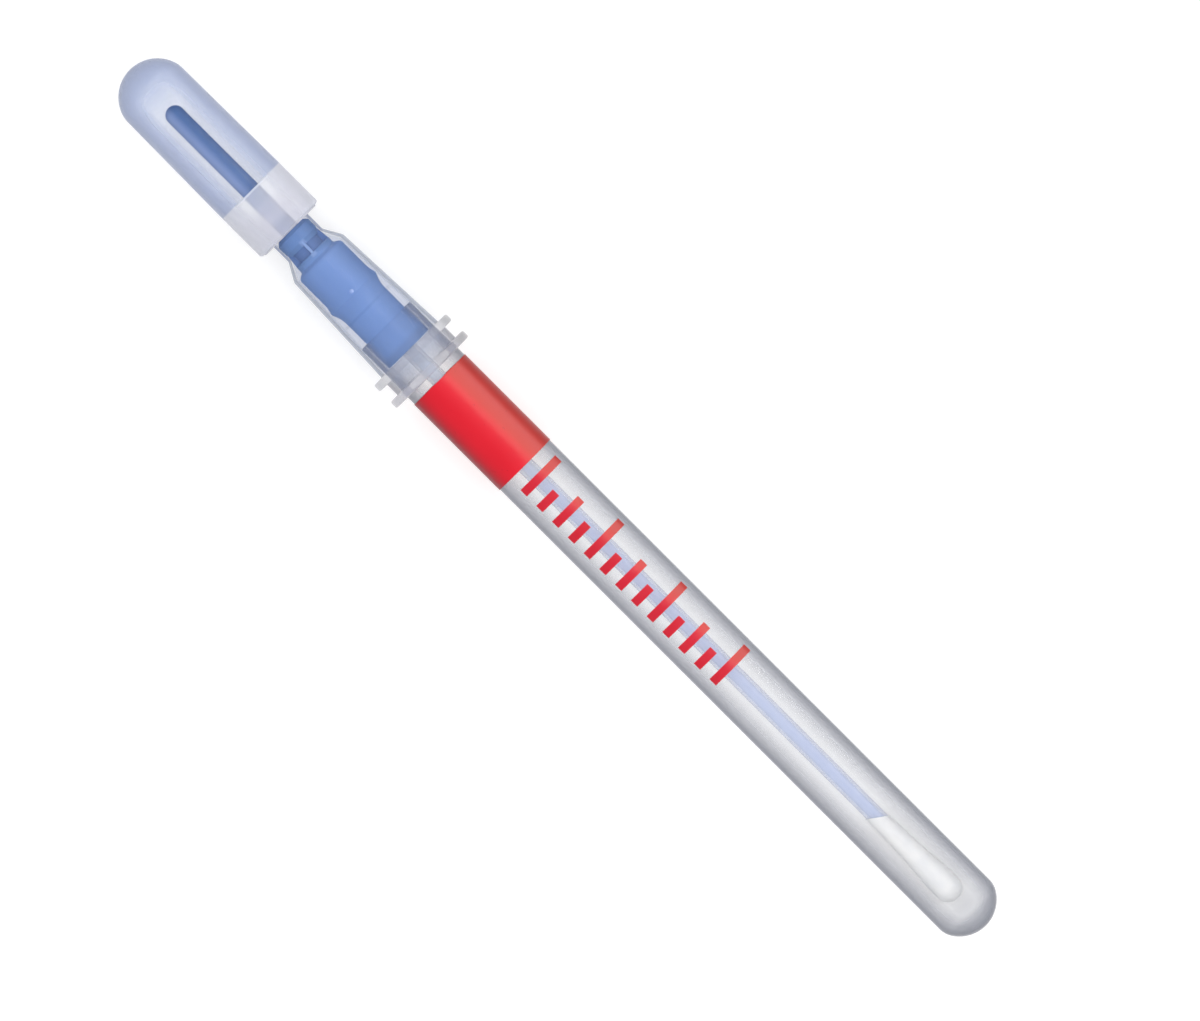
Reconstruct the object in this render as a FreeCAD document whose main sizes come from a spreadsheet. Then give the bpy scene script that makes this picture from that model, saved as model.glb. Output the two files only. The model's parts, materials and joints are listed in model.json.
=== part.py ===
import FreeCAD, Part
import math
import os
import re

import Sketcher

# A self-contained surface swab: a squeeze bulb of liquid reagent over a snap valve,
# a clear valve housing, and a long swab that closes a clear round-ended tube.
#
# Every piece is drawn upright about the Z axis, with the tube's closed end at
# height 0 and the bulb at the top. layDown() then turns the whole set on its side,
# as it comes to rest: on the rim of the tube's flange and on the end of the tube.

doc = FreeCAD.newDocument("SwabTube")

SIZES = [
    # swab tube
    ("tube_radius", 5.25, "outer radius of the tube"),
    ("tube_wall", 1.0, "wall of the tube"),
    ("tube_length", 118.0, "closed end to the seat on top of the tube's flange"),
    ("tube_end_flat", 0.75, "how much shallower than a half ball the round end is"),
    ("tube_end_offset", 1.65, "axis to the centre of the curve from the side into the round end"),
    ("flange_width", 2.35, "how far both flanges stand out from the tube's side"),
    ("flange_thick", 1.3, "thickness of the tube's flange"),
    ("flange_round", 0.3, "rounding of the rims of both flanges"),
    ("flange_root", 0.2, "rounding between the tube's side and its flange"),
    ("rim_height", 8.6, "seat to the tube's open rim"),
    ("rim_relief", 0.15, "how much slimmer the rim is than the tube"),
    ("rim_round", 0.25, "rounding of the open rim"),
    # printed band
    ("band_gap", 1.45, "flange to the printed band"),
    ("band_width", 18.0, "width of the printed band"),
    ("band_thick", 0.1, "thickness of the printed film"),
    # valve housing
    ("skirt_clearance", 0.1, "rim of the tube to the skirt around it"),
    ("skirt_wall", 0.9, "wall of the skirt under the grip flange"),
    ("grip_height", 2.2, "seat to the underside of the grip flange"),
    ("grip_thick", 1.3, "thickness of the grip flange"),
    ("sleeve_length", 19.2, "grip flange to the shoulder"),
    ("sleeve_foot_wall", 0.75, "wall of the sleeve where it meets the grip flange"),
    ("sleeve_wall", 0.55, "wall of the sleeve at the shoulder"),
    ("sleeve_relief", 0.6, "rim to where the sleeve's bore starts to narrow"),
    ("shoulder_height", 2.8, "height of the sloping shoulder"),
    ("shoulder_round", 1.0, "rounding of the shoulder"),
    ("neck_length", 3.1, "shoulder to the underside of the plug"),
    ("neck_wall", 0.4, "wall of the neck"),
    ("plug_length", 8.4, "length of the plug in the bulb's mouth"),
    ("plug_clearance", 0.05, "plug to the inside of the bulb"),
    ("stem_clearance", 0.1, "stem to the plug's bore"),
    # squeeze bulb and its liquid
    ("bulb_radius", 5.95, "outer radius of the bulb at its mouth"),
    ("bulb_draft", 0.2, "how much slimmer the bulb is under its round top"),
    ("bulb_wall", 0.6, "wall of the bulb"),
    ("bulb_length", 33.7, "mouth to the top of the bulb"),
    ("bulb_top_flat", 0.35, "how much shallower than a half ball the bulb's top is"),
    ("bulb_top_offset", 1.05, "axis to the centre of the curve from the side into the top"),
    ("bulb_lift", 0.2, "underside of the plug to the mouth of the bulb"),
    ("bulb_round", 0.5, "rounding of the bulb's mouth"),
    ("liquid_clearance", 0.05, "liquid to the solids around it"),
    # snap valve
    ("stem_radius", 1.5, "radius of the stem in the bulb"),
    ("stem_height", 17.4, "top of the plug to the tip of the stem"),
    ("throat_radius", 3.1, "radius of the valve's head under the plug"),
    ("throat_clearance", 0.05, "valve's head to the inside of the neck"),
    ("throat_bevel", 0.6, "bevel on top of the valve's head"),
    ("taper_height", 0.8, "height of the taper over the breaking groove"),
    ("taper_inset", 0.4, "how far that taper draws in"),
    ("groove_height", 1.6, "height of the breaking groove"),
    ("groove_depth", 0.35, "depth of the breaking groove"),
    ("rib_inset", 0.2, "valve's head to the outside of the ribs that bridge the groove"),
    ("rib_width", 0.6, "width of a rib"),
    ("rib_count", 4, "number of ribs"),
    ("collar_step", 0.2, "how much wider than the head the collar under the groove is"),
    ("collar_height", 1.05, "height of the collar"),
    ("barrel_step", 0.05, "how much wider than the tube's bore the barrel is"),
    ("barrel_slope", 0.6, "height of the slope from the collar to the barrel"),
    ("barrel_drop", 0.35, "top of the barrel to the shoulder of the sleeve"),
    ("barrel_gap", 0.3, "barrel to the sleeve at the shoulder"),
    ("ridge_height", 6.6, "rim to the crest of the snap ridge"),
    ("ridge_rise", 0.3, "how far the ridge stands out from the barrel"),
    ("ridge_lead", 0.45, "height of the ridge's upper slope"),
    ("ridge_fall", 1.2, "height of the ridge's lower slope"),
    ("ridge_blend", 0.6, "rounding at the foot of the ridge"),
    ("waist_depth", 0.35, "how much slimmer the barrel is under the ridge"),
    ("channel_stop", 0.5, "breaking groove to the top of the barrel's channel"),
    ("seal_inset", 0.1, "rim to the top of the part that fits in the tube"),
    ("seal_end", 3.65, "seat to the lower end of the barrel"),
    ("seal_clearance", 0.1, "barrel to the tube's bore"),
    # swab
    ("shaft_radius", 1.35, "outer radius of the hollow shaft"),
    ("shaft_wall", 0.5, "wall of the shaft"),
    ("shaft_socket", 8.0, "depth of the shaft's socket in the barrel"),
    ("shaft_clearance", 0.03, "shaft to its socket and to the bud's fibre"),
    ("bud_gap", 4.9, "tip of the bud to the floor of the tube"),
    ("bud_length", 17.0, "length of the bud"),
    ("bud_lip", 0.1, "thickness of the fibre where the bud starts"),
    ("bud_swell", 0.8, "thickness of the fibre at the bud's widest"),
    ("bud_waist", 0.3, "thickness of the fibre part of the way down"),
    ("bud_waist_height", 10.6, "tip to that place"),
    ("bud_belly_height", 3.8, "tip to where the bud is widest"),
    ("bud_end_flat", 0.25, "how much shallower than a half ball the bud's tip is"),
    ("bud_end_offset", 0.65, "axis to the centre of the curve from the side into the tip"),
    ("bud_tip_thick", 5.0, "fibre beyond the end of the shaft"),
]

sheet = doc.addObject("Spreadsheet::Sheet", "Sizes")
for row, (alias, amount, meaning) in enumerate(SIZES, start=1):
    sheet.set(f"A{row}", meaning)
    sheet.set(f"B{row}", str(amount))
    sheet.setAlias(f"B{row}", alias)
doc.recompute()

ALIASES = re.compile(r"\b(" + "|".join(alias for alias, _, _ in SIZES) + r")\b")


def linked(text):
    # "tube_radius - tube_wall" becomes "Sizes.tube_radius - Sizes.tube_wall"
    return ALIASES.sub(r"Sizes.\1", text)


def number(text):
    return float(sheet.evalExpression(linked(text)))


# Heights over the tube's closed end, from the bottom up.
BUD_TIP = "(tube_wall + bud_gap)"
SEAT = "tube_length"
RIM = f"({SEAT} + rim_height)"
GRIP = f"({SEAT} + grip_height)"
SLEEVE_FOOT = f"({GRIP} + grip_thick)"
SHOULDER = f"({SLEEVE_FOOT} + sleeve_length)"
NECK_FOOT = f"({SHOULDER} + shoulder_height)"
NECK_TOP = f"({NECK_FOOT} + neck_length)"
PLUG_TOP = f"({NECK_TOP} + plug_length)"
STEM_TIP = f"({PLUG_TOP} + stem_height)"
BULB_MOUTH = f"({NECK_TOP} + bulb_lift)"
BULB_TOP = f"({BULB_MOUTH} + bulb_length)"

# Radii that more than one piece depends on.
TUBE_BORE = "(tube_radius - tube_wall)"
FLANGE_RADIUS = "(tube_radius + flange_width)"
RIM_RADIUS = "(tube_radius - rim_relief)"
SKIRT_BORE = f"({RIM_RADIUS} + skirt_clearance)"
BULB_BORE = "(bulb_radius - bulb_wall)"
SHAFT_BORE = "(shaft_radius - shaft_wall)"
BARREL_RADIUS = f"({TUBE_BORE} + barrel_step)"
BULB_TOP_RADIUS = "(bulb_radius - bulb_draft)"

# Where the sides of the round ends stop and the curves in them begin.
TUBE_FOOT = "(tube_radius - tube_end_flat)"
TUBE_KNUCKLE = "(tube_radius - tube_end_offset)"
DOME_FOOT = f"({BULB_TOP} - {BULB_TOP_RADIUS} + bulb_top_flat)"
DOME_KNUCKLE = f"({BULB_TOP_RADIUS} - bulb_top_offset)"


def originPlane(body, role):
    return next(feature for feature in body.Origin.OriginFeatures if feature.Role == role)


def newBody(label):
    body = doc.addObject("PartDesign::Body", label)
    body.Label = label
    return body


def newSketch(body, name, role):
    sketch = body.newObject("Sketcher::SketchObject", name)
    sketch.AttachmentSupport = [(originPlane(body, role), "")]
    sketch.MapMode = "FlatFace"
    return sketch


def bindConstraint(sketch, text, kind, *where):
    index = sketch.addConstraint(Sketcher.Constraint(kind, *where, number(text)))
    sketch.setExpression(f"Constraints[{index}]", linked(text))


def circleArc(center, start, end):
    # the counter-clockwise arc about a centre from one point to another
    radius = start.distanceToPoint(center)
    angles = [math.atan2(p.y - center.y, p.x - center.x) for p in (start, end)]
    circle = Part.Circle(center, FreeCAD.Vector(0, 0, 1), radius)
    return Part.ArcOfCircle(circle, angles[0], angles[1])


def drawDome(sketch, side, top, knuckle):
    # A round end: a small arc off the side, then a crown centred on the axis.
    # Returns the ends of the pair as (geometry, point) at the side and on the axis.
    upward = 1 if top.y > side.y else -1
    small = number(knuckle)
    depth = abs(top.y - side.y)
    inner = side.x - small
    drop = (inner**2 - (depth - small) ** 2) / (2 * (depth - small))
    crownCenter = FreeCAD.Vector(0, side.y - upward * drop, 0)
    smallCenter = FreeCAD.Vector(inner, side.y, 0)
    outward = (smallCenter - crownCenter).normalize()
    joint = crownCenter + outward * (depth + drop)
    if upward > 0:
        small_arc = sketch.addGeometry(circleArc(smallCenter, side, joint))
        crown_arc = sketch.addGeometry(circleArc(crownCenter, joint, top))
        ends = (small_arc, 1), (small_arc, 2), (crown_arc, 1), (crown_arc, 2)
    else:
        small_arc = sketch.addGeometry(circleArc(smallCenter, joint, side))
        crown_arc = sketch.addGeometry(circleArc(crownCenter, top, joint))
        ends = (small_arc, 2), (small_arc, 1), (crown_arc, 2), (crown_arc, 1)
    atSide, smallEnd, crownEnd, atTop = ends
    sketch.addConstraint(Sketcher.Constraint("Tangent", *smallEnd, *crownEnd))
    sketch.addConstraint(Sketcher.Constraint("PointOnObject", crown_arc, 3, -2))
    sketch.addConstraint(Sketcher.Constraint("Horizontal", small_arc, 3, *atSide))
    bindConstraint(sketch, knuckle, "Radius", small_arc)
    return atSide, atTop


def drawBall(sketch, side, top):
    # a quarter circle from the side up to the axis
    center = FreeCAD.Vector(0, side.y, 0)
    arc = sketch.addGeometry(circleArc(center, side, top))
    sketch.addConstraint(Sketcher.Constraint("PointOnObject", arc, 3, -2))
    return (arc, 1), (arc, 2)


def drawHalf(body, name, corners):
    # The half section of a turned piece. A corner is (radius, height); a third item
    # makes the edge to the next corner a round end: "ball", or a knuckle radius.
    sketch = newSketch(body, name, "XZ_Plane")
    points = [FreeCAD.Vector(number(c[0]), number(c[1]), 0) for c in corners]
    ends = []
    for index, corner in enumerate(corners):
        here = points[index]
        there = points[(index + 1) % len(points)]
        if len(corner) == 2:
            line = sketch.addGeometry(Part.LineSegment(here, there))
            ends.append(((line, 1), (line, 2)))
        elif corner[2] == "ball":
            ends.append(drawBall(sketch, here, there))
        elif here.x > there.x:
            ends.append(drawDome(sketch, here, there, corner[2]))
        else:
            ends.append(drawDome(sketch, there, here, corner[2])[::-1])
    for index, corner in enumerate(corners):
        start = ends[index][0]
        sketch.addConstraint(Sketcher.Constraint("Coincident", *ends[index - 1][1], *start))
        if corner[0] == "0":
            sketch.addConstraint(Sketcher.Constraint("PointOnObject", *start, -2))
        else:
            bindConstraint(sketch, corner[0], "DistanceX", -1, 1, *start)
        if corner[1] == "0":
            sketch.addConstraint(Sketcher.Constraint("PointOnObject", *start, -1))
        else:
            bindConstraint(sketch, corner[1], "DistanceY", -1, 1, *start)
    return sketch


def turn(body, name, corners):
    sketch = drawHalf(body, name + "Outline", corners)
    feature = body.newObject("PartDesign::Revolution", name)
    feature.Profile = sketch
    feature.ReferenceAxis = (sketch, ["V_Axis"])
    feature.Angle = 360
    doc.recompute()
    return feature


def roundRings(body, name, radius, rings):
    # rounds the circular edges found at the given radii and heights
    base = body.Tip
    wanted = [(number(r), number(z)) for r, z in rings]
    names = []
    for index, edge in enumerate(base.Shape.Edges, start=1):
        if edge.Degenerated or not isinstance(edge.Curve, Part.Circle):
            continue
        ring = edge.Curve.Radius, edge.Curve.Center.z
        if any(math.dist(ring, place) < 1e-4 for place in wanted):
            names.append(f"Edge{index}")
    if len(names) != len(rings):
        raise ValueError(f"{name}: {len(names)} edges found for {len(rings)} rings")
    feature = body.newObject("PartDesign::Fillet", name)
    feature.Base = (base, names)
    feature.setExpression("Radius", linked(radius))
    doc.recompute()
    return feature


def makeTube():
    body = newBody("swab_tube")
    flangeFoot = f"({SEAT} - flange_thick)"
    turn(
        body,
        "TubeWall",
        [
            ("0", "0"),
            ("0", "tube_wall", f"({TUBE_KNUCKLE} - tube_wall)"),
            (TUBE_BORE, TUBE_FOOT),
            (TUBE_BORE, RIM),
            (RIM_RADIUS, RIM),
            (RIM_RADIUS, SEAT),
            (FLANGE_RADIUS, SEAT),
            (FLANGE_RADIUS, flangeFoot),
            ("tube_radius", flangeFoot),
            ("tube_radius", TUBE_FOOT, TUBE_KNUCKLE),
        ],
    )
    rims = [(FLANGE_RADIUS, SEAT), (FLANGE_RADIUS, flangeFoot)]
    roundRings(body, "FlangeRims", "flange_round", rims)
    roundRings(body, "FlangeRoot", "flange_root", [("tube_radius", flangeFoot)])
    mouth = [(TUBE_BORE, RIM), (RIM_RADIUS, RIM)]
    roundRings(body, "OpenRim", "rim_round", mouth)
    return body


def makeBand():
    body = newBody("red_band")
    top = f"({SEAT} - flange_thick - band_gap)"
    outside = "(tube_radius + band_thick)"
    turn(
        body,
        "BandFilm",
        [
            ("tube_radius", f"({top} - band_width)"),
            (outside, f"({top} - band_width)"),
            (outside, top),
            ("tube_radius", top),
        ],
    )
    return body


def makeHousing():
    body = newBody("valve_housing")
    boreEnd = f"({RIM} + sleeve_relief)"
    skirt = f"({SKIRT_BORE} + skirt_wall)"
    foot = f"({SKIRT_BORE} + sleeve_foot_wall)"
    cavity = f"({BARREL_RADIUS} + barrel_gap)"
    shoulder = f"({cavity} + sleeve_wall)"
    throat = "(throat_radius + throat_clearance)"
    neck = f"({throat} + neck_wall)"
    plug = f"({BULB_BORE} - plug_clearance)"
    stemBore = "(stem_radius + stem_clearance)"
    turn(
        body,
        "HousingWall",
        [
            (SKIRT_BORE, SEAT),
            (skirt, SEAT),
            (skirt, GRIP),
            (FLANGE_RADIUS, GRIP),
            (FLANGE_RADIUS, SLEEVE_FOOT),
            (foot, SLEEVE_FOOT),
            (shoulder, SHOULDER),
            (neck, NECK_FOOT),
            (neck, NECK_TOP),
            (plug, NECK_TOP),
            (plug, PLUG_TOP),
            (stemBore, PLUG_TOP),
            (stemBore, NECK_TOP),
            (f"({throat} - throat_bevel)", NECK_TOP),
            (throat, f"({NECK_TOP} - throat_bevel)"),
            (throat, f"({NECK_FOOT} - neck_wall)"),
            (cavity, f"({SHOULDER} - neck_wall)"),
            (SKIRT_BORE, boreEnd),
        ],
    )
    roundRings(body, "GripRims", "flange_round", [(FLANGE_RADIUS, GRIP), (FLANGE_RADIUS, SLEEVE_FOOT)])
    roundRings(body, "ShoulderRound", "shoulder_round", [(shoulder, SHOULDER)])
    return body


def makeBulb():
    body = newBody("squeeze_bulb")
    turn(
        body,
        "BulbWall",
        [
            (BULB_BORE, BULB_MOUTH),
            ("bulb_radius", BULB_MOUTH),
            ("bulb_radius", PLUG_TOP),
            (BULB_TOP_RADIUS, DOME_FOOT, DOME_KNUCKLE),
            ("0", BULB_TOP),
            ("0", f"({BULB_TOP} - bulb_wall)", f"({DOME_KNUCKLE} - bulb_wall)"),
            (f"({BULB_BORE} - bulb_draft)", DOME_FOOT),
            (BULB_BORE, PLUG_TOP),
        ],
    )
    roundRings(body, "BulbMouth", "bulb_round", [("bulb_radius", BULB_MOUTH)])
    return body


def makeReagent():
    # fills the bulb over the plug, all round the stem
    body = newBody("reagent")
    outside = f"({BULB_BORE} - liquid_clearance)"
    inside = "(stem_radius + liquid_clearance)"
    foot = f"({PLUG_TOP} + liquid_clearance)"
    top = f"({BULB_TOP} - bulb_wall - liquid_clearance)"
    knuckle = f"({DOME_KNUCKLE} - bulb_wall - liquid_clearance)"
    ballFoot = f"({STEM_TIP} - stem_radius)"
    turn(
        body,
        "Liquid",
        [
            (inside, foot),
            (outside, foot),
            (f"({outside} - bulb_draft)", DOME_FOOT, knuckle),
            ("0", top),
            ("0", f"({STEM_TIP} + liquid_clearance)"),
            (inside, f"({STEM_TIP} + liquid_clearance)"),
            (inside, ballFoot),
        ],
    )
    return body


def makeValve():
    # One moulding: the stem in the bulb, the head under the plug, the groove where it
    # snaps, and the hollow barrel that carries the swab and seals the tube.
    body = newBody("snap_valve")
    barrelTop = f"({SHOULDER} - barrel_drop)"
    collarFoot = f"({barrelTop} + barrel_slope)"
    grooveFoot = f"({collarFoot} + collar_height)"
    taperFoot = f"({grooveFoot} + groove_height)"
    throatFoot = f"({taperFoot} + taper_height)"
    collar = "(throat_radius + collar_step)"
    taper = "(throat_radius - taper_inset)"
    ridgeCrest = f"({RIM} + ridge_height)"
    ridge = f"({BARREL_RADIUS} + ridge_rise)"
    waist = f"({BARREL_RADIUS} - waist_depth)"
    ridgeFoot = f"({ridgeCrest} - ridge_fall)"
    sealTop = f"({RIM} - seal_inset)"
    sealFoot = f"({SEAT} + seal_end)"
    seal = f"({TUBE_BORE} - seal_clearance)"
    floor = f"({taper} - groove_depth)"
    socket = "(shaft_radius + shaft_clearance)"
    socketTop = f"({sealFoot} + shaft_socket)"
    channelTop = f"({grooveFoot} - channel_stop)"
    turn(
        body,
        "ValveForm",
        [
            (socket, sealFoot),
            (seal, sealFoot),
            (seal, sealTop),
            (waist, sealTop),
            (waist, ridgeFoot),
            (ridge, ridgeCrest),
            (BARREL_RADIUS, f"({ridgeCrest} + ridge_lead)"),
            (BARREL_RADIUS, barrelTop),
            (collar, collarFoot),
            (collar, grooveFoot),
            (floor, grooveFoot),
            (floor, taperFoot),
            (taper, taperFoot),
            ("throat_radius", throatFoot),
            ("throat_radius", f"({NECK_TOP} - throat_bevel)"),
            ("(throat_radius - throat_bevel)", NECK_TOP),
            ("stem_radius", NECK_TOP),
            ("stem_radius", f"({STEM_TIP} - stem_radius)", "ball"),
            ("0", STEM_TIP),
            ("0", channelTop),
            (SHAFT_BORE, channelTop),
            (SHAFT_BORE, socketTop),
            (socket, socketTop),
        ],
    )
    addRibs(body, grooveFoot)
    roundRings(body, "RidgeFoot", "ridge_blend", [(waist, ridgeFoot)])
    return body


def addRibs(body, foot):
    # the ribs that bridge the breaking groove until it is snapped
    sketch = newSketch(body, "RibOutline", "XY_Plane")
    sketch.setExpression("AttachmentOffset.Base.z", linked(foot))
    reach = number("throat_radius - rib_inset")
    half = number("rib_width") / 2
    corners = [
        FreeCAD.Vector(0, -half, 0),
        FreeCAD.Vector(reach, -half, 0),
        FreeCAD.Vector(reach, half, 0),
        FreeCAD.Vector(0, half, 0),
    ]
    for here, there in zip(corners, corners[1:] + corners[:1]):
        sketch.addGeometry(Part.LineSegment(here, there))
    for line in range(4):
        sketch.addConstraint(Sketcher.Constraint("Coincident", line, 2, (line + 1) % 4, 1))
    sketch.addConstraint(Sketcher.Constraint("Horizontal", 0))
    sketch.addConstraint(Sketcher.Constraint("Horizontal", 2))
    sketch.addConstraint(Sketcher.Constraint("Vertical", 3))
    sketch.addConstraint(Sketcher.Constraint("PointOnObject", 3, 1, -2))
    sketch.addConstraint(Sketcher.Constraint("Symmetric", 1, 1, 1, 2, -1))
    bindConstraint(sketch, "throat_radius - rib_inset", "DistanceX", -1, 1, 1, 1)
    bindConstraint(sketch, "rib_width", "DistanceY", 1, 1, 1, 2)
    rib = body.newObject("PartDesign::Pad", "Rib")
    rib.Profile = sketch
    rib.setExpression("Length", linked("groove_height"))
    doc.recompute()
    ring = body.newObject("PartDesign::PolarPattern", "RibRing")
    ring.Originals = [rib]
    ring.Axis = (originPlane(body, "Z_Axis"), [""])
    ring.Angle = 360
    ring.setExpression("Occurrences", linked("rib_count"))
    body.Tip = ring
    doc.recompute()


def makeShaft():
    body = newBody("swab_shaft")
    top = f"({SEAT} + seal_end + shaft_socket - shaft_clearance)"
    foot = f"({BUD_TIP} + bud_tip_thick)"
    turn(
        body,
        "ShaftWall",
        [
            (SHAFT_BORE, foot),
            ("shaft_radius", foot),
            ("shaft_radius", top),
            (SHAFT_BORE, top),
        ],
    )
    return body


def makeBud():
    # fibre wound on the lower end of the shaft
    body = newBody("swab_tip")
    top = f"({BUD_TIP} + bud_length)"
    pocket = "(shaft_radius + shaft_clearance)"
    pocketFoot = f"({BUD_TIP} + bud_tip_thick - shaft_clearance)"
    belly = "(shaft_radius + bud_swell)"
    turn(
        body,
        "BudForm",
        [
            ("0", BUD_TIP),
            ("0", pocketFoot),
            (pocket, pocketFoot),
            (pocket, top),
            ("(shaft_radius + bud_lip)", top),
            ("(shaft_radius + bud_waist)", f"({BUD_TIP} + bud_waist_height)"),
            (belly, f"({BUD_TIP} + bud_belly_height)"),
            (belly, f"({BUD_TIP} + {belly} - bud_end_flat)", f"({belly} - bud_end_offset)"),
        ],
    )
    return body


def layDown(body):
    # Tips the upright set over so that its top points to -X, and lowers it until the
    # rim of the flange and the end of the tube both touch the floor.
    contact = f"({SEAT} - flange_thick + flange_round - {TUBE_FOOT})"
    lean = linked(f"atan(flange_width / {contact})")
    body.Placement = FreeCAD.Placement(
        FreeCAD.Vector(), FreeCAD.Rotation(FreeCAD.Vector(0, 1, 0), -90)
    )
    body.setExpression("Placement.Rotation.Angle", f"{lean} - 90 deg")
    body.setExpression("Placement.Base.x", linked(f"{BULB_TOP} / 2") + f" * cos({lean})")
    lift = linked("tube_radius") + f" * cos({lean}) - " + linked(TUBE_FOOT) + f" * sin({lean})"
    body.setExpression("Placement.Base.z", lift)


pieces = [
    makeTube(),
    makeBand(),
    makeHousing(),
    makeBulb(),
    makeReagent(),
    makeValve(),
    makeShaft(),
    makeBud(),
]
for piece in pieces:
    layDown(piece)
doc.recompute()

for item in doc.Objects:
    if {"Invalid", "Error"} & set(item.State):
        raise ValueError(f"{item.Name} failed: {item.State}")
for piece in pieces:
    if piece.Shape.isNull() or not piece.Shape.isValid():
        raise ValueError(f"{piece.Label} has no valid shape")

os.makedirs("parts", exist_ok=True)
for piece in pieces:
    piece.Shape.exportStep(f"parts/{piece.Label}.step")
    print(f"{piece.Label}: {piece.Shape.Volume:.1f} mm3")
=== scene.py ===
import json
import math

import bmesh
import bpy
from mathutils import Matrix, Vector


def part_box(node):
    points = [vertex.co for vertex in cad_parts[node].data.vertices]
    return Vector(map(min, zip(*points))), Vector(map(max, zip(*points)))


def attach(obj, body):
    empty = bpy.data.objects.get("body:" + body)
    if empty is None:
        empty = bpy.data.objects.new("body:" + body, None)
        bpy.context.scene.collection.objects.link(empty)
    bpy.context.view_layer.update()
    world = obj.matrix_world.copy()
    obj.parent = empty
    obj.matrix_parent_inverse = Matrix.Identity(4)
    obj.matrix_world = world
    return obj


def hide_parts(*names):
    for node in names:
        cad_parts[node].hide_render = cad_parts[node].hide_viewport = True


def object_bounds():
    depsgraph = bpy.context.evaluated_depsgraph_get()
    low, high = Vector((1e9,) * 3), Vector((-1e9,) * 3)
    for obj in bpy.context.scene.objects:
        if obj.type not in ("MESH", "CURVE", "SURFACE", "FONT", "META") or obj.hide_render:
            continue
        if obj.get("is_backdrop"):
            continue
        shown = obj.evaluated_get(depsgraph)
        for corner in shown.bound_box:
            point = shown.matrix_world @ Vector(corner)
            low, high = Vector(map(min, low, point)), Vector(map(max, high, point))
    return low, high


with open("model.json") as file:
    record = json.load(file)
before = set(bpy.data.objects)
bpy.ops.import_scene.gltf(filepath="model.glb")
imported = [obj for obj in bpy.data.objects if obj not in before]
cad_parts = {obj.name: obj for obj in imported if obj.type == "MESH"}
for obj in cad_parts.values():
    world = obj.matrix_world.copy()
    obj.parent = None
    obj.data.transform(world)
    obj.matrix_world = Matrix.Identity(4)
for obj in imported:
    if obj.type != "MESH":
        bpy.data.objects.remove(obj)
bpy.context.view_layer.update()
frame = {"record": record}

record = frame["record"]
mm = 0.001
print("swab: the packed model is loaded")


# nodes: one class for a wire, one for a tree


def operator(operation, reflected=False):
    # a method that adds a Math node, with the wire first or, reflected, last
    def method(wire, other):
        return wire.math(operation, *((other, wire) if reflected else (wire, other)))

    return method


class Wire:
    # an output socket; arithmetic on it adds Math nodes to its tree
    def __init__(self, tree, socket):
        self.tree = tree
        self.socket = socket

    def also(self, *names):
        # other outputs of the same node
        found = [Wire(self.tree, self.socket.node.outputs[name]) for name in names]
        return found if len(found) > 1 else found[0]

    def math(self, operation, *values):
        return self.tree.node("ShaderNodeMath", {"operation": operation}, dict(enumerate(values)))

    __add__, __radd__ = operator("ADD"), operator("ADD", True)
    __sub__, __rsub__ = operator("SUBTRACT"), operator("SUBTRACT", True)
    __mul__, __rmul__ = operator("MULTIPLY"), operator("MULTIPLY", True)
    __truediv__, __rtruediv__ = operator("DIVIDE"), operator("DIVIDE", True)
    __pow__, __mod__ = operator("POWER"), operator("MODULO")
    __gt__, __lt__ = operator("GREATER_THAN"), operator("LESS_THAN")

    def __abs__(self):
        return self.math("ABSOLUTE", self)

    def floor(self):
        return self.math("FLOOR", self)

    def sin(self):
        return self.math("SINE", self)

    def cos(self):
        return self.math("COSINE", self)

    def clamped(self):
        return self.math("MAXIMUM", self.math("MINIMUM", self, 1.0), 0.0)


class Tree:
    # a node tree, with one method that adds any node
    def __init__(self, nodeTree):
        self.nodeTree = nodeTree

    def node(self, kind, settings=None, values=None, output=0):
        made = self.nodeTree.nodes.new(kind)
        for name, setting in (settings or {}).items():
            setattr(made, name, setting)
        for name, value in (values or {}).items():
            self.feed(made.inputs[name], value)
        return Wire(self, made.outputs[output]) if made.outputs else made

    def feed(self, socket, value):
        if isinstance(value, Wire):
            self.nodeTree.links.new(value.socket, socket)
        elif value is not None:
            if socket.type == "RGBA" and len(value) == 3:
                value = (*value, 1.0)
            socket.default_value = value

    def xyz(self, x=0.0, y=0.0, z=0.0):
        return self.node("ShaderNodeCombineXYZ", {}, {"X": x, "Y": y, "Z": z})

    def parts(self, vector):
        split = self.node("ShaderNodeSeparateXYZ", {}, {0: vector})
        return split.also("X", "Y", "Z")

    def here(self):
        return self.node("GeometryNodeInputPosition")

    def shaped(self, kind, shape, **values):
        # a geometry node that changes one shape
        return self.node(kind, {}, {"Geometry": shape, **values})

    def stored(self, shape, name, value, kind="FLOAT", domain="POINT"):
        settings = {"data_type": kind, "domain": domain}
        values = {"Geometry": shape, "Name": name, "Value": value}
        return self.node("GeometryNodeStoreNamedAttribute", settings, values)

    def keptUpright(self, shape):
        # the materials read where each point was before the object was laid down
        return self.stored(shape, "upright", self.here(), "FLOAT_VECTOR")


def ink(red, green, blue):
    # a colour as it is seen on a screen, 0 to 255, as the linear colour that nodes take
    levels = [level / 255 for level in (red, green, blue)]
    return tuple(v / 12.92 if v <= 0.04045 else ((v + 0.055) / 1.055) ** 2.4 for v in levels)


# where things are: upright, the tube's closed end is at height 0 and the bulb is on top


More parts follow.
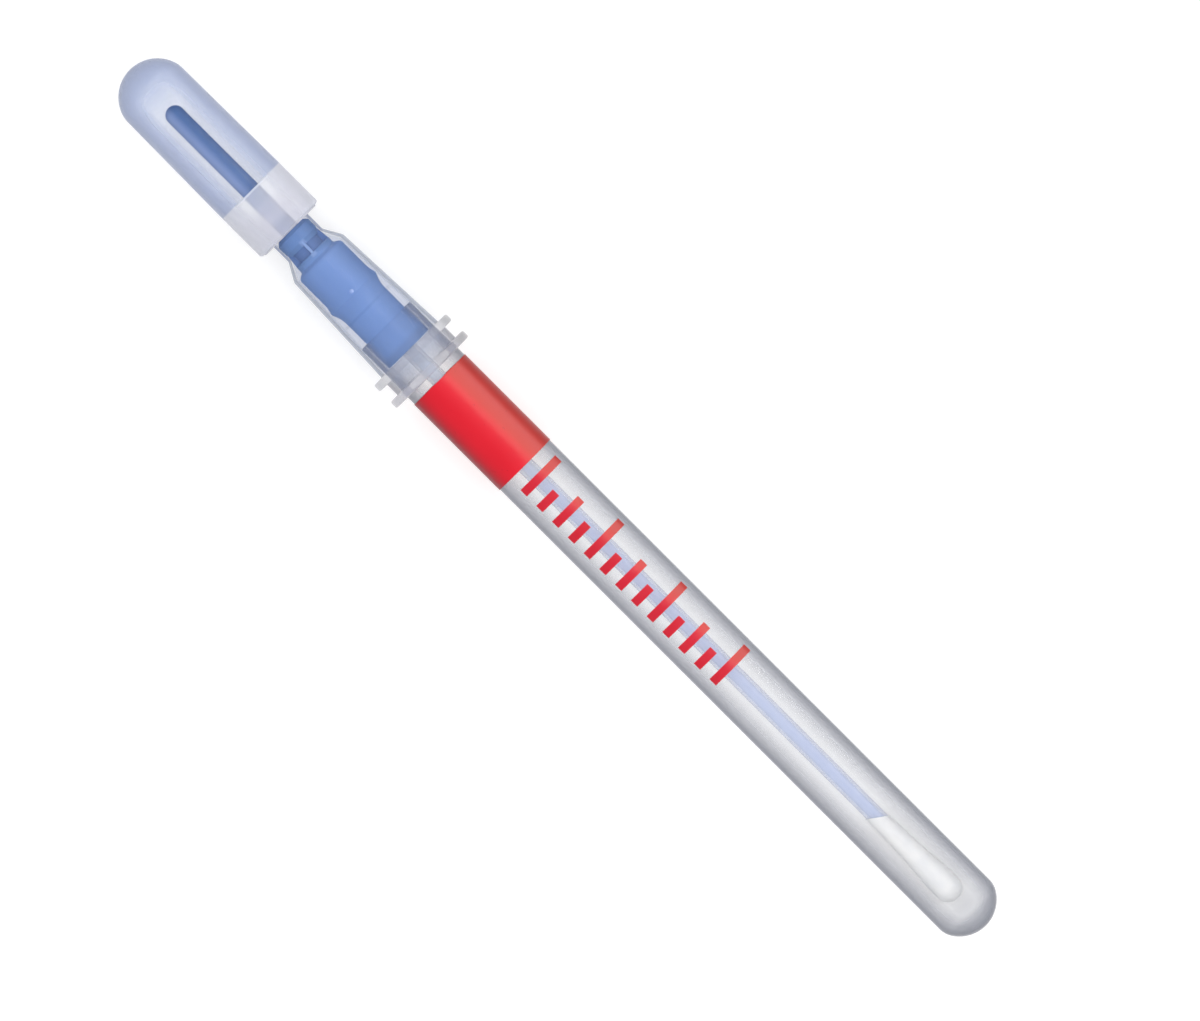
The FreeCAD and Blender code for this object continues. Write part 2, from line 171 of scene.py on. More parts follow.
def lyingFrame():
    mount = next(m for m in record["mounts"] if m["name"] == "tube_barrel")
    toEnd = Vector(mount["axis"]).normalized()
    onAxis = Vector(mount["pos_m"])
    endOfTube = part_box("swab_tube")[1].x
    closedEnd = onAxis + toEnd * ((endOfTube - onAxis.x) / toEnd.x)
    across = Vector((0, 1, 0))
    radial = across.cross(-toEnd)
    return Matrix.Translation(closedEnd) @ Matrix((radial, across, -toEnd)).transposed().to_4x4()


lying = lyingFrame()

# heights over the closed end, in mm
levels = {
    "budTip": 5.9,
    "budTop": 22.9,
    "flangeFoot": 116.7,
    "seat": 118.0,
    "grip": 120.2,
    "sleeveFoot": 121.5,
    "barrelEnd": 121.65,
    "rim": 126.6,
    "shoulder": 140.7,
    "neckFoot": 143.5,
    "neckTop": 146.6,
    "bulbMouth": 146.8,
    "plugTop": 155.0,
    "stemTip": 172.4,
    "bulbTop": 180.5,
}


# sections: half outlines as lists of (radius, height), in mm


def arc(radius, start, end, steps, right=0.0, up=0.0):
    angles = [start + (end - start) * step / steps for step in range(steps + 1)]
    return [(right + radius * math.cos(a), up + radius * math.sin(a)) for a in angles]


def dome(radius, top, steps=12):
    # a quarter circle from the side up to the axis
    return arc(radius, 0, math.pi / 2, steps, 0, top - radius)[:-1] + [(0.0, top)]


def roundEnd(radius, depth, knuckle, foot, way, steps=14):
    # a moulded round end from the side to the axis: a small arc, then a flatter crown
    offset, rise = radius - knuckle, depth - knuckle
    drop = (offset**2 - rise**2) / (2 * rise)
    swing = math.atan2(drop, offset)
    points = arc(knuckle, 0, swing, steps, offset)
    points += arc(depth + drop, swing, math.pi / 2, steps, 0, -drop)[1:]
    points[-1] = (0.0, points[-1][1])
    return [(r, foot + way * z) for r, z in points]


def cornerArc(before, corner, after, radius, steps):
    # the points that round one corner of an outline
    a, b, c = Vector(before), Vector(corner), Vector(after)
    toBefore, toAfter = (a - b).normalized(), (c - b).normalized()
    half = toBefore.angle(toAfter) / 2
    reach = radius / math.tan(half)
    center = b + (toBefore + toAfter).normalized() * (radius / math.sin(half))
    start, end = b + toBefore * reach - center, b + toAfter * reach - center
    turn = math.atan2(start.x * end.y - start.y * end.x, start.dot(end))
    rotated = [Matrix.Rotation(turn * step / steps, 2) @ start for step in range(steps + 1)]
    return [tuple(center + spoke) for spoke in rotated]


def outline(corners, steps=6, closed=False):
    # a corner is (radius, height) or (radius, height, rounding)
    made = []
    for index, corner in enumerate(corners):
        if len(corner) == 2:
            made.append(tuple(corner))
            continue
        before, after = corners[index - 1], corners[(index + 1) % len(corners)]
        made += cornerArc(before[:2], corner[:2], after[:2], corner[2], steps)
    return made + made[:1] if closed else made


def spread(points, longest):
    # splits the long straight runs of a section, so that shading can follow them
    made = [points[0]]
    for here, there in zip(points, points[1:]):
        parts = max(1, math.ceil(math.dist(here, there) / longest))
        for part in range(1, parts + 1):
            share = part / parts
            made.append(tuple(a + (b - a) * share for a, b in zip(here, there)))
    return made


def skin(points, inside=0):
    return [(r, z, inside) for r, z in points]


# geometry nodes


def newTree(name, counts, lengths=None, angles=None):
    # every tree takes a base shape, its numbers by name, and a material; here the lengths are in
    # mm and the angles in degrees
    numbers = dict(counts)
    numbers.update({title: length * mm for title, length in (lengths or {}).items()})
    numbers.update({title: math.radians(angle) for title, angle in (angles or {}).items()})
    made = bpy.data.node_groups.new(name, "GeometryNodeTree")
    made.interface.new_socket("Geometry", in_out="INPUT", socket_type="NodeSocketGeometry")
    for title, value in numbers.items():
        kind = "NodeSocketInt" if isinstance(value, int) else "NodeSocketFloat"
        made.interface.new_socket(title, in_out="INPUT", socket_type=kind).default_value = value
    made.interface.new_socket("Material", in_out="INPUT", socket_type="NodeSocketMaterial")
    made.interface.new_socket("Geometry", in_out="OUTPUT", socket_type="NodeSocketGeometry")
    tree = Tree(made)
    return tree, tree.node("NodeGroupInput")


def finishTree(tree, source, shape):
    # every tree ends in real geometry with its material on
    shape = tree.shaped("GeometryNodeRealizeInstances", shape)
    shape = tree.shaped("GeometryNodeSetMaterial", shape, Material=source.also("Material"))
    tree.shaped("NodeGroupOutput", shape)
    return tree


def grown(name, base, tree, inputs):
    # runs a tree on a base mesh and returns the plain mesh that it makes
    holder = bpy.data.objects.new(name + "Holder", base)
    bpy.context.scene.collection.objects.link(holder)
    modifier = holder.modifiers.new("Nodes", "NODES")
    modifier.node_group = tree.nodeTree
    for item in tree.nodeTree.interface.items_tree:
        if item.in_out == "INPUT" and item.name in inputs:
            modifier[item.identifier] = inputs[item.name]
    holder.update_tag()
    depsgraph = bpy.context.evaluated_depsgraph_get()
    mesh = bpy.data.meshes.new_from_object(holder.evaluated_get(depsgraph))
    holder.modifiers.remove(modifier)
    bpy.data.objects.remove(holder)
    mesh.name = name
    return mesh


turningValues = {
    "segments": 96,
    "roundingGuard": 0.0001,  # keeps a row's first point in its own row
    "seam": 0.2e-6,  # closes the seam and the poles
}


def turningTree():
    # turns a half section about the upright axis
    v = turningValues
    tree, source = newTree("Turning", {"Segments": v["segments"]})
    segments = source.also("Segments")
    columns = segments + 1
    rows = tree.node("GeometryNodeAttributeDomainSize", {"component": "MESH"}, {"Geometry": source})
    size = {"Size X": 1.0, "Size Y": 1.0, "Vertices X": rows, "Vertices Y": columns}
    grid = tree.node("GeometryNodeMeshGrid", {}, size)
    index = tree.node("GeometryNodeInputIndex")
    row = (index / columns + v["roundingGuard"]).floor()
    angle = (index - row * columns) / segments * math.tau

    def fromSection(kind, value):
        settings = {"data_type": kind, "domain": "POINT"}
        values = {"Geometry": source, "Value": value, "Index": row}
        return tree.node("GeometryNodeSampleIndex", settings, values)

    named = "GeometryNodeInputNamedAttribute"
    inside = tree.node(named, {"data_type": "FLOAT"}, {"Name": "inside"})
    radius, _, height = tree.parts(fromSection("FLOAT_VECTOR", tree.here()))
    spun = tree.xyz(radius * angle.cos(), radius * angle.sin(), height)
    shape = tree.shaped("GeometryNodeSetPosition", grid, Position=spun)
    shape = tree.stored(tree.keptUpright(shape), "inside", fromSection("FLOAT", inside))
    shape = tree.shaped("GeometryNodeMergeByDistance", shape, Distance=v["seam"])
    return finishTree(tree, source, shape)


turning = turningTree()


def turned(name, section, material, segments):
    # section is a list of (radius, height, inside) in mm
    base = bpy.data.meshes.new(name + "Section")
    edges = [(index, index + 1) for index in range(len(section) - 1)]
    base.from_pydata([(r * mm, 0, z * mm) for r, z, _ in section], edges, [])
    inside = base.attributes.new("inside", "FLOAT", "POINT")
    inside.data.foreach_set("value", [float(flag) for _, _, flag in section])
    return grown(name, base, turning, {"Segments": segments, "Material": material})


def pieceFrom(mesh, body, nodes, smooth=35):
    # lays a mesh down in its place and makes it a piece of the object
    shell = bmesh.new()
    shell.from_mesh(mesh)
    if shell.calc_volume(signed=True) < 0:
        bmesh.ops.reverse_faces(shell, faces=shell.faces)
    shell.to_mesh(mesh)
    shell.free()
    mesh.transform(lying)
    mesh.shade_smooth()
    mesh.set_sharp_from_angle(angle=math.radians(smooth))
    piece = bpy.data.objects.new(mesh.name, mesh)
    bpy.context.scene.collection.objects.link(piece)
    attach(piece, body)
    if nodes:
        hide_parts(*nodes)
    return piece


# finishes


class Finish(Tree):
    # a material under way
    def __init__(self, name):
        self.material = bpy.data.materials.new(name)
        self.material.use_nodes = True
        self.material.node_tree.nodes.clear()
        super().__init__(self.material.node_tree)

    def attribute(self, name, output="Fac"):
        return self.node("ShaderNodeAttribute", {"attribute_name": name}, output=output)

    def places(self):
        # away from the floor, across, and up from the closed end, as if the swab stood upright
        return self.parts(self.attribute("upright", "Vector"))

    def lampRay(self):
        return self.node("ShaderNodeLightPath", output="Is Shadow Ray")

    def noise(self, scale, detail, along=1.0, around=1.0):
        where = self.node("ShaderNodeTexCoord", output="Object")
        stretch = {"Vector": where, "Scale": (along, around, around)}
        where = self.node("ShaderNodeMapping", {}, stretch)
        values = {"Vector": where, "Scale": scale, "Detail": detail, "Roughness": 0.55}
        return self.node("ShaderNodeTexNoise", {}, values)

    def mixed(self, factor, first, second):
        values = {0: factor, 6: first, 7: second}
        return self.node("ShaderNodeMix", {"data_type": "RGBA"}, values, output=2)

    def between(self, value, low, high, start=0.0, end=1.0, ease="SMOOTHSTEP"):
        # value from low to high, as a number from start to end
        settings = {"interpolation_type": ease, "clamp": True}
        values = {0: value, 1: low, 2: high, 3: start, 4: end}
        return self.node("ShaderNodeMapRange", settings, values)

    def over(self, value, low, high, start=0.0, end=1.0):
        # the same, for a distance, with low and high in mm
        return self.between(value, low * mm, high * mm, start, end)

    def fromNoise(self, noise, low=0.0, high=1.0):
        # the middle of a noise's range, as a number from low to high
        return self.between(noise, 0.3, 0.7, low, high)

    def bump(self, height, strength, distance):
        values = {"Height": height, "Strength": strength, "Distance": distance * mm}
        return self.node("ShaderNodeBump", {}, values)

    def surface(self, **inputs):
        # the Principled shader, by the maker's names for its inputs
        titles = {
            "color": "Base Color",
            "roughness": "Roughness",
            "alpha": "Alpha",
            "normal": "Normal",
            "ior": "IOR",
            "gloss": "Specular IOR Level",
            "sheen": "Sheen Weight",
            "sheenRoughness": "Sheen Roughness",
        }
        values = {titles[name]: value for name, value in inputs.items()}
        shader = self.node("ShaderNodeBsdfPrincipled", {}, values)
        self.node("ShaderNodeOutputMaterial", {}, {"Surface": shader})
        return self.material


clearValues = {
    "leastOutwards": 0.2,
    "zoneBlend": 0.06,  # mm over which one zone turns into the next
    "seamBlend": (0.07, 0.02),  # how far a seam's edges reach out of it and into it
    "stepSlope": (0.86, 0.8),
    "scuffs": (0.35, 0.75),
    "flowDepth": 0.05,
    "details": (2.0, 4.0, 6.0),  # of the cloud, the flow and the scuffs
}


def clearFinish(name, look):
    # See-through moulded plastic. It turns denser where the wall is seen edge on, and its far side
    # and its bore have their own density. Light gets through it better than sight does.
    v = clearValues
    finish = Finish(name)
    _, across, height = finish.places()

    def within(start, end):
        return (height > start * mm) * (height < end * mm)

    # clear of a round end only the way round the axis counts, so that small edges draw no line
    start, end, share = look["calm"]
    towards = 1 - finish.node("ShaderNodeLayerWeight", {}, {"Blend": 0.5}, output="Facing")
    normal = finish.node("ShaderNodeNewGeometry", output="Normal")
    behind, inside = normal.also("Backfacing"), finish.attribute("inside")
    values = {0: normal, 1: tuple(lying.to_3x3().col[2])}
    settings = {"operation": "DOT_PRODUCT"}
    along = finish.node("ShaderNodeVectorMath", settings, values, output="Value")
    outwards = (1 - along * along).clamped() ** 0.5
    outwards = outwards.math("MAXIMUM", outwards, v["leastOutwards"])
    towards = (towards + (towards / outwards - towards) * within(start, end) * share).clamped()
    slope = (1 - towards * towards) ** 0.5

    def wall(flat, rim, low, high, ease="SMOOTHSTEP"):
        return flat + finish.between(slope, low, high, ease=ease) * (rim - flat)

    def walls(front, back):
        return wall(*front) * (1 - behind) + wall(*back) * behind

    density = walls(look["front"], look["back"])
    blend = v["zoneBlend"]
    for start, end, front, back in look.get("zones", []):
        there = finish.over(height, start - blend, start + blend)
        there = there * finish.over(height, end + blend, end - blend)
        density = density + (walls(front, back) - density) * there
    out, into = v["seamBlend"]
    for start, end, low, high, share in look.get("seams", []):
        seam = finish.between(slope, low - out, low + into)
        seam = seam * finish.between(slope, high + out, high - into)
        density = density + (1 - density) * seam * within(start, end) * share
    cloudDetail, flowDetail, scuffDetail = v["details"]
    scale, stretch, share = look["cloud"]
    cloud = finish.noise(scale, cloudDetail, stretch)
    density = density * (1 + (cloud - 0.5) * share)
    steps = []
    for start, end, share, paint in look.get("steps", []):
        # a faint line round the wall, where the mould's parts met
        step = within(start, end) * finish.between(slope, *v["stepSlope"])
        density = density + (1 - density) * step * share
        steps.append((step, paint))
    for start, end, share in look.get("denser", []):
        density = density + (1 - density) * finish.over(height, start, end) * share
    density = density + (wall(*look["bore"]) - density) * inside
    density = density * (1 - finish.lampRay() * look["lightLetIn"])
    color = finish.mixed(cloud, *look["colors"])
    for start, end, paint in look.get("paints", []):
        color = finish.mixed(finish.over(height, start, end), color, paint)
    # painted shade: one side of a zone is darker, as if the light fell from the other side
    for start, end, foot, top, paint in look.get("sideShades", []):
        there = within(foot, top)
        color = finish.mixed(finish.over(across, start, end) * there, color, paint)
    for step, paint in steps:
        color = finish.mixed(step, color, paint)
    scale, stretch, strength = look["flow"]
    flow = finish.noise(scale, flowDetail, stretch)
    scale, stretch = look["scuff"]
    scuffs = finish.noise(scale, scuffDetail, stretch)
    return finish.surface(
        color=finish.mixed(inside, color, look["boreColor"]),
        alpha=density.clamped(),
        roughness=finish.between(scuffs, *v["scuffs"], *look["roughness"]),
        normal=finish.bump(flow, strength, v["flowDepth"]),
        ior=look["ior"],
        gloss=look["gloss"],
    )


# the tube

tubeValues = {
    "radius": 5.25,
    "wall": 1.0,
    "endFlat": 0.75,
    "endOffset": 1.65,
    "flangeWidth": 2.35,
    "flangeRound": 0.3,
    "flangeRoot": 0.2,
    "rimRelief": 0.15,
    "rimRound": 0.25,
    "longestRun": 4.0,
    "segments": 144,
    # how dense a wall is: seen flat on, at the rim, and where it starts and stops to rise; a zone
    # has its own, and so has the bore. Heights and places across are in mm. A noise has its scale
    # and its stretch along the axis, and then its strength.
    "look": {
        "front": (0.06, 0.95, 0.36, 0.95, "LINEAR"),
        "back": (0.17, 0.68, 0.8, 1.0),
        "zones": [
            (116.65, 118.05, (0.44, 0.42, 0.7, 0.95), (0.32, 0.36, 0.7, 0.95)),
            (118.05, 121.6, (0.2, 0.8, 0.3, 1.0, "LINEAR"), (0.15, 0.5, 0.6, 1.0)),
            (121.6, 127.0, (0.015, 0.92, 0.7, 0.98), (0.03, 0.7, 0.7, 1.0)),
        ],
        "seams": [(116.65, 118.05, 0.55, 0.67, 0.7)],
        "denser": [(6.6, 3.8, 0.13), (3.6, 1.2, 0.12)],
        "calm": (6.0, 127.0, 0.85),
        "bore": (0.005, 0.03, 0.6, 1.0),
        "boreColor": ink(176, 179, 192),
        "lightLetIn": 0.9,
        "colors": (ink(146, 149, 161), ink(156, 159, 171)),
        "paints": [
            (116.6, 116.7, ink(172, 173, 188)),
            (118.0, 118.1, ink(139, 142, 156)),
            (121.5, 121.7, ink(118, 125, 150)),
        ],
        # painted shade: the flange is darker on its +Y side, darkest at its outer edge
        "sideShades": [
            (0.5, 3.5, 116.7, 118.0, ink(146, 147, 161)),
            (5.4, 6.6, 116.7, 118.0, ink(112, 116, 127)),
        ],
        "cloud": (60.0, 0.35, 0.12),
        "flow": (260.0, 0.15, 0.03),
        "scuff": (420.0, 0.1),
        "roughness": (0.12, 0.28),
        "ior": 1.49,
        "gloss": 0.12,
    },
}


def makeTube():
    v = tubeValues
    radius, wall = v["radius"], v["wall"]
    bore, slim, flange = radius - wall, radius - v["rimRelief"], radius + v["flangeWidth"]
    rim, foot, knuckle = levels["rim"], radius - v["endFlat"], radius - v["endOffset"]
    seat, flangeFoot = levels["seat"], levels["flangeFoot"]
    outer = roundEnd(radius, foot, knuckle, foot, -1)[::-1]
    outer += outline(
        [
            outer[-1],
            (radius, flangeFoot, v["flangeRoot"]),
            (flange, flangeFoot, v["flangeRound"]),
            (flange, seat, v["flangeRound"]),
            (slim, seat),
            (slim, rim, v["rimRound"]),
            (bore, rim, v["rimRound"]),
            (bore, foot),
        ]
    )[1:-1]
    inner = roundEnd(bore, foot - wall, knuckle - wall, foot, -1)
    run = v["longestRun"]
    section = skin(spread(outer, run)) + skin(spread([outer[-1]] + inner, run)[1:], 1)
    material = clearFinish("clearTubePlastic", v["look"])
    mesh = turned("clearTube", section, material, v["segments"])
    return pieceFrom(mesh, "tube", ["swab_tube"])


# the printed band and the scale of marks on the tube

printValues = {
    "bandTop": 115.25,
    "bandWidth": 18.0,
    "filmThick": 0.1,
    "filmRound": 0.04,
    "segments": 144,
    "markCounts": {"Count": 13, "Steps": 24},
    "markLengths": {"First": 94.44, "Last": 54.63, "Stroke": 1.36, "Thickness": 0.02},
    # degrees round the tube from its top
    "markAngles": {"Low End": -36.6, "Short End": 4.0, "Middle End": 26.0, "Tall End": 52.7},
    "inkLift": 0.0001,  # keeps the ink off the wall
    "band": {"inks": (ink(229, 34, 51), ink(223, 31, 48)), "cover": 0.98},
    "marks": {"inks": (ink(214, 38, 56), ink(207, 36, 53)), "cover": 0.95},
    "inkShadedSide": ink(198, 42, 32),  # painted shade: the print is duller and darker along its +Y side
    "shadedSide": (-0.2, 2.2),  # mm across, where it starts and where it is full
    "inkEdgeShade": ink(128, 18, 36),  # painted shade where it is seen edge on
    "edgeShadeSlope": (0.15, 0.75),
    "edgeShadeSide": (1.5, -3.5),
    "edgeShadeShares": (0.25, 0.75),  # on the upper side and on the lower
    "cloud": (90.0, 4.0),  # scale and detail
    "cloudRange": (0.35, 0.65),
    "grain": (1400.0, 2.0),
    "pinholes": (0.2, 0.32),
    "pinholeShare": 0.8,
    "lightLetIn": 0.8,
    "bump": (0.05, 0.02),  # strength, and depth in mm
    "roughness": (0.29, 0.39),
    "ior": 1.25,
    "gloss": 0.5,
}


def makePrintFinish(name, paint):
    # red print: even colour with the small unevenness of ink, and a gloss over it; painted shade
    # along one side and where it is seen edge on
    v = printValues
    finish = Finish(name)
    cloud, grain = finish.noise(*v["cloud"]), finish.noise(*v["grain"])
    color = finish.mixed(finish.between(cloud, *v["cloudRange"]), *paint["inks"])
    _, across, _ = finish.places()
    color = finish.mixed(finish.over(across, *v["shadedSide"]), color, v["inkShadedSide"])
    away = finish.node("ShaderNodeLayerWeight", {}, {"Blend": 0.5}, output="Facing")
    paintedShade = finish.between(away, *v["edgeShadeSlope"])
    paintedShade = paintedShade * finish.over(across, *v["edgeShadeSide"], *v["edgeShadeShares"])
    cover = paint["cover"]
    pinholes = finish.between(grain, *v["pinholes"], cover * v["pinholeShare"], cover)
    return finish.surface(
        color=finish.mixed(paintedShade, color, v["inkEdgeShade"]),
        alpha=pinholes * (1 - finish.lampRay() * v["lightLetIn"]),
        roughness=finish.fromNoise(grain, *v["roughness"]),
        normal=finish.bump(grain, *v["bump"]),
        ior=v["ior"],
        gloss=v["gloss"],
    )


def makeBand():
    v = printValues
    radius, edge = tubeValues["radius"], v["filmRound"]
    top, foot, film = v["bandTop"], v["bandTop"] - v["bandWidth"], radius + v["filmThick"]
    corners = [(radius, foot), (film, foot, edge), (film, top, edge), (radius, top)]
    points = outline(corners, steps=4, closed=True)
    material = makePrintFinish("redFilm", v["band"])
    mesh = turned("printedBand", skin(points), material, v["segments"])
    return pieceFrom(mesh, "tube", ["red_band"])


def markTree():
    # a row of strokes along the tube, wrapped round it
    v = printValues
    lengths = {"Radius": tubeValues["radius"], **v["markLengths"]}
    tree, source = newTree("Scale marks", v["markCounts"], lengths, v["markAngles"])
    count, first, last, thick = source.also("Count", "First", "Last", "Thickness")
    low, short, middle, tall = source.also("Low End", "Short End", "Middle End", "Tall End")
    pitch = tree.xyz(z=(last - first) / (count - 1))
    places = {"Count": count, "Start Location": tree.xyz(z=first), "Offset": pitch}
    row = tree.node("GeometryNodeMeshLine", {"mode": "OFFSET", "count_mode": "TOTAL"}, places)
    # every second stroke is longer, and every fourth the longest
    number = tree.node("GeometryNodeInputIndex")
    fourth, second = (number % 4.0) < 0.5, (number % 2.0) < 0.5
    top = short + (middle - short) * second + (tall - middle) * fourth
    row = tree.stored(row, "sweep", top - low)
    # one stroke: X is through the ink, Y goes round the tube from 0 to 1, Z along it
    size = tree.xyz(thick, 1.0, source.also("Stroke"))
    counts = {"Vertices X": 2, "Vertices Y": source.also("Steps"), "Vertices Z": 2}
    bar = tree.node("GeometryNodeMeshCube", {}, {"Size": size, **counts})
    onWall = tree.xyz(thick / 2 + v["inkLift"] * mm, 0.5)
    bar = tree.shaped("GeometryNodeTransform", bar, Translation=onWall)
    marks = tree.node("GeometryNodeInstanceOnPoints", {}, {"Points": row, "Instance": bar})
    marks = tree.shaped("GeometryNodeRealizeInstances", marks)
    x, y, z = tree.parts(tree.here())
    sweep = tree.node("GeometryNodeInputNamedAttribute", {"data_type": "FLOAT"}, {"Name": "sweep"})
    angle, reach = low + y * sweep, source.also("Radius") + x
    wrapped = tree.xyz(reach * angle.cos(), reach * angle.sin(), z)
    marks = tree.shaped("GeometryNodeSetPosition", marks, Position=wrapped)
    return finishTree(tree, source, tree.keptUpright(marks))


def makeMarks():
    base = bpy.data.meshes.new("scaleMarksBase")
    material = makePrintFinish("redInk", printValues["marks"])
    mesh = grown("scaleMarks", base, markTree(), {"Material": material})
    return pieceFrom(mesh, "tube", [])


makeTube()
makeBand()
makeMarks()
print("swab: the tube and its print are made")


# the valve housing and its plug

housingValues = {
    "skirtBore": 5.2,
    "skirtWall": 0.9,
    "gripRadius": 7.6,
    "gripRound": 0.3,
    "footRadius": 5.95,
    "shoulderRadius": 5.15,
    "shoulderRound": 1.0,
    "cavity": 4.6,
    "throat": 3.15,
    "neck": 3.55,
    "innerDrop": 0.4,  # how far under the outside's corners the inside's corners are
    "sleeveRelief": 0.6,
    "longestRun": 3.0,
    "segments": 144,
    "look": {
        "front": (0.03, 0.92, 0.84, 0.98),
        "back": (0.1, 0.85, 0.8, 1.0),
        "zones": [
            (118.0, 120.2, (0.06, 0.8, 0.7, 1.0), (0.06, 0.7, 0.7, 1.0)),
            (120.2, 121.55, (0.3, 0.34, 0.7, 0.95), (0.24, 0.34, 0.7, 0.95)),
        ],
        "steps": [(130.15, 130.6, 0.05, ink(96, 112, 150))],
        "calm": (117.0, 150.0, 0.85),
        "bore": (0.16, 0.18, 0.6, 1.0),
        "boreColor": ink(172, 198, 250),
        "lightLetIn": 0.75,
        "colors": (ink(182, 191, 209), ink(190, 198, 215)),
        "paints": [(121.9, 121.4, ink(176, 177, 188)), (143.0, 143.6, ink(160, 172, 204))],
        # painted shade on the grip flange's +Y edge
        "sideShades": [(6.1, 6.6, 120.0, 121.7, ink(108, 112, 124))],
        "cloud": (90.0, 0.5, 0.15),
        "flow": (300.0, 0.3, 0.03),
        "scuff": (420.0, 0.2),
        "roughness": (0.1, 0.25),
        "ior": 1.49,
        "gloss": 0.12,
    },
}

plugValues = {
    "radius": 5.3,
    "stemBore": 1.6,
    "edgeRound": 0.15,
    "segments": 128,
    "colors": (ink(225, 228, 239), ink(235, 237, 245)),
    "cover": (0.51, 0.59),
    "coverStart": (1.7, 2.2),  # mm from the axis, so that the bore's own wall is clear
    "footHeights": (7.5, 4.0),  # mm over the plug's foot, where a change starts and is full
    "footColor": ink(221, 221, 231),
    "footCover": 0.1,
    # a painted highlight along the plug's top edge, where the plug is also denser
    "lipDepths": (0.5, 0.1),  # mm under the plug's top
    "lipHighlight": ink(240, 243, 250),
    "lipCover": 0.24,
    "paintedGlow": ink(251, 252, 255),  # a painted glow: a paler streak on each side of the stem
    "streakSides": (1.5, 1.8, 2.5, 3.3),
    "streakHeights": (3.0, 7.5),
    "stemSide": (1.65, 1.35),
    "stemFoot": (3.2, 1.6, 0.0, 0.15),  # heights, and how much less the plug covers the stem
    "stemTop": (5.0, 6.6, 0.0, 0.06),
    "lightLetIn": 0.5,
    "cloud": (220.0, 5.0),
    "bump": (0.1, 0.05),
    "roughness": (0.3, 0.45),
    "gloss": 0.12,
}


def makeHousing():
    v = housingValues
    seat, grip, foot = levels["seat"], levels["grip"], levels["sleeveFoot"]
    shoulder, neckFoot, neckTop = levels["shoulder"], levels["neckFoot"], levels["neckTop"]
    skirt, drop = v["skirtBore"] + v["skirtWall"], v["innerDrop"]
    outer = outline(
        [
            (v["skirtBore"], seat),
            (skirt, seat),
            (skirt, grip),
            (v["gripRadius"], grip, v["gripRound"]),
            (v["gripRadius"], foot, v["gripRound"]),
            (v["footRadius"], foot),
            (v["shoulderRadius"], shoulder, v["shoulderRound"]),
            (v["neck"], neckFoot),
            (v["neck"], neckTop),
        ]
    )
    inner = [
        (v["throat"], neckTop),
        (v["throat"], neckFoot - drop),
        (v["cavity"], shoulder - drop),
        (v["skirtBore"], levels["rim"] + v["sleeveRelief"]),
        (v["skirtBore"], seat),
    ]
    run = v["longestRun"]
    section = skin(spread(outer, run)) + skin(spread(inner, run), 1)
    material = clearFinish("clearHousingPlastic", v["look"])
    mesh = turned("clearHousing", section, material, v["segments"])
    return pieceFrom(mesh, "swab_head", ["valve_housing"])


def makePlug():
    # the milky plug in the bulb's mouth, with the stem through it
    v = plugValues
    foot, top = levels["neckTop"], levels["plugTop"]
    finish = Finish("milkyPlugPlastic")
    cloud = finish.noise(*v["cloud"])
    x, across, height = finish.places()
    reach, side = (x * x + across * across) ** 0.5, abs(across)

    def rise(low, high, start=0.0, end=1.0):
        return finish.over(height, foot + low, foot + high, start, end)

    color = finish.mixed(cloud, *v["colors"])
    low = rise(*v["footHeights"])
    color = finish.mixed(low, color, v["footColor"])
    near, clear, full, gone = v["streakSides"]
    paintedGlow = finish.over(side, near, clear) * finish.over(side, gone, full)
    color = finish.mixed(paintedGlow * rise(*v["streakHeights"]), color, v["paintedGlow"])
    # painted highlight along the top edge
    highlightLip = finish.over(height, *[top - depth for depth in v["lipDepths"]])
    stemShows = (rise(*v["stemFoot"]) + rise(*v["stemTop"])) * finish.over(side, *v["stemSide"])
    cover = finish.fromNoise(cloud, *v["cover"])
    cover = cover + highlightLip * v["lipCover"] + low * v["footCover"] - stemShows
    cover = cover * finish.over(reach, *v["coverStart"])
    material = finish.surface(
        color=finish.mixed(highlightLip, color, v["lipHighlight"]),
        alpha=(cover * (1 - finish.lampRay() * v["lightLetIn"])).clamped(),
        roughness=finish.fromNoise(cloud, *v["roughness"]),
        normal=finish.bump(cloud, *v["bump"]),
        gloss=v["gloss"],
    )
    radius, bore, edge = v["radius"], v["stemBore"], v["edgeRound"]
    corners = [(bore, foot), (radius, foot, edge), (radius, top, edge), (bore, top)]
    mesh = turned("milkyPlug", skin(outline(corners, closed=True)), material, v["segments"])
    return pieceFrom(mesh, "swab_head", ["valve_housing"])


makeHousing()
makePlug()
print("swab: the housing is made")


# the bulb and its liquid

bulbValues = {
    "radius": 5.95,
    "draft": 0.2,
    "wall": 0.6,
    "topFlat": 0.35,
    "topOffset": 1.05,
    "topSteps": 18,
    "mouthRound": 0.5,
    "longestRun": 2.5,
    "segments": 144,
    "look": {
        "front": (0.03, 0.9, 0.3, 0.95),
        "back": (0.03, 0.6, 0.3, 0.95),
        "paints": [(155.15, 154.85, ink(226, 228, 240))],
        "denser": [(171.5, 180.5, 0.7)],
        "calm": (146.0, 155.0, 0.5),
        "bore": (0.005, 0.03, 0.6, 1.0),
        "boreColor": ink(184, 195, 220),
        "lightLetIn": 0.7,
        "colors": (ink(173, 184, 215), ink(183, 193, 221)),
        "cloud": (110.0, 0.6, 0.12),
        "flow": (200.0, 0.5, 0.04),
        "scuff": (380.0, 0.4),
        "roughness": (0.25, 0.4),
        "ior": 1.51,
        "gloss": 0.12,
    },
}

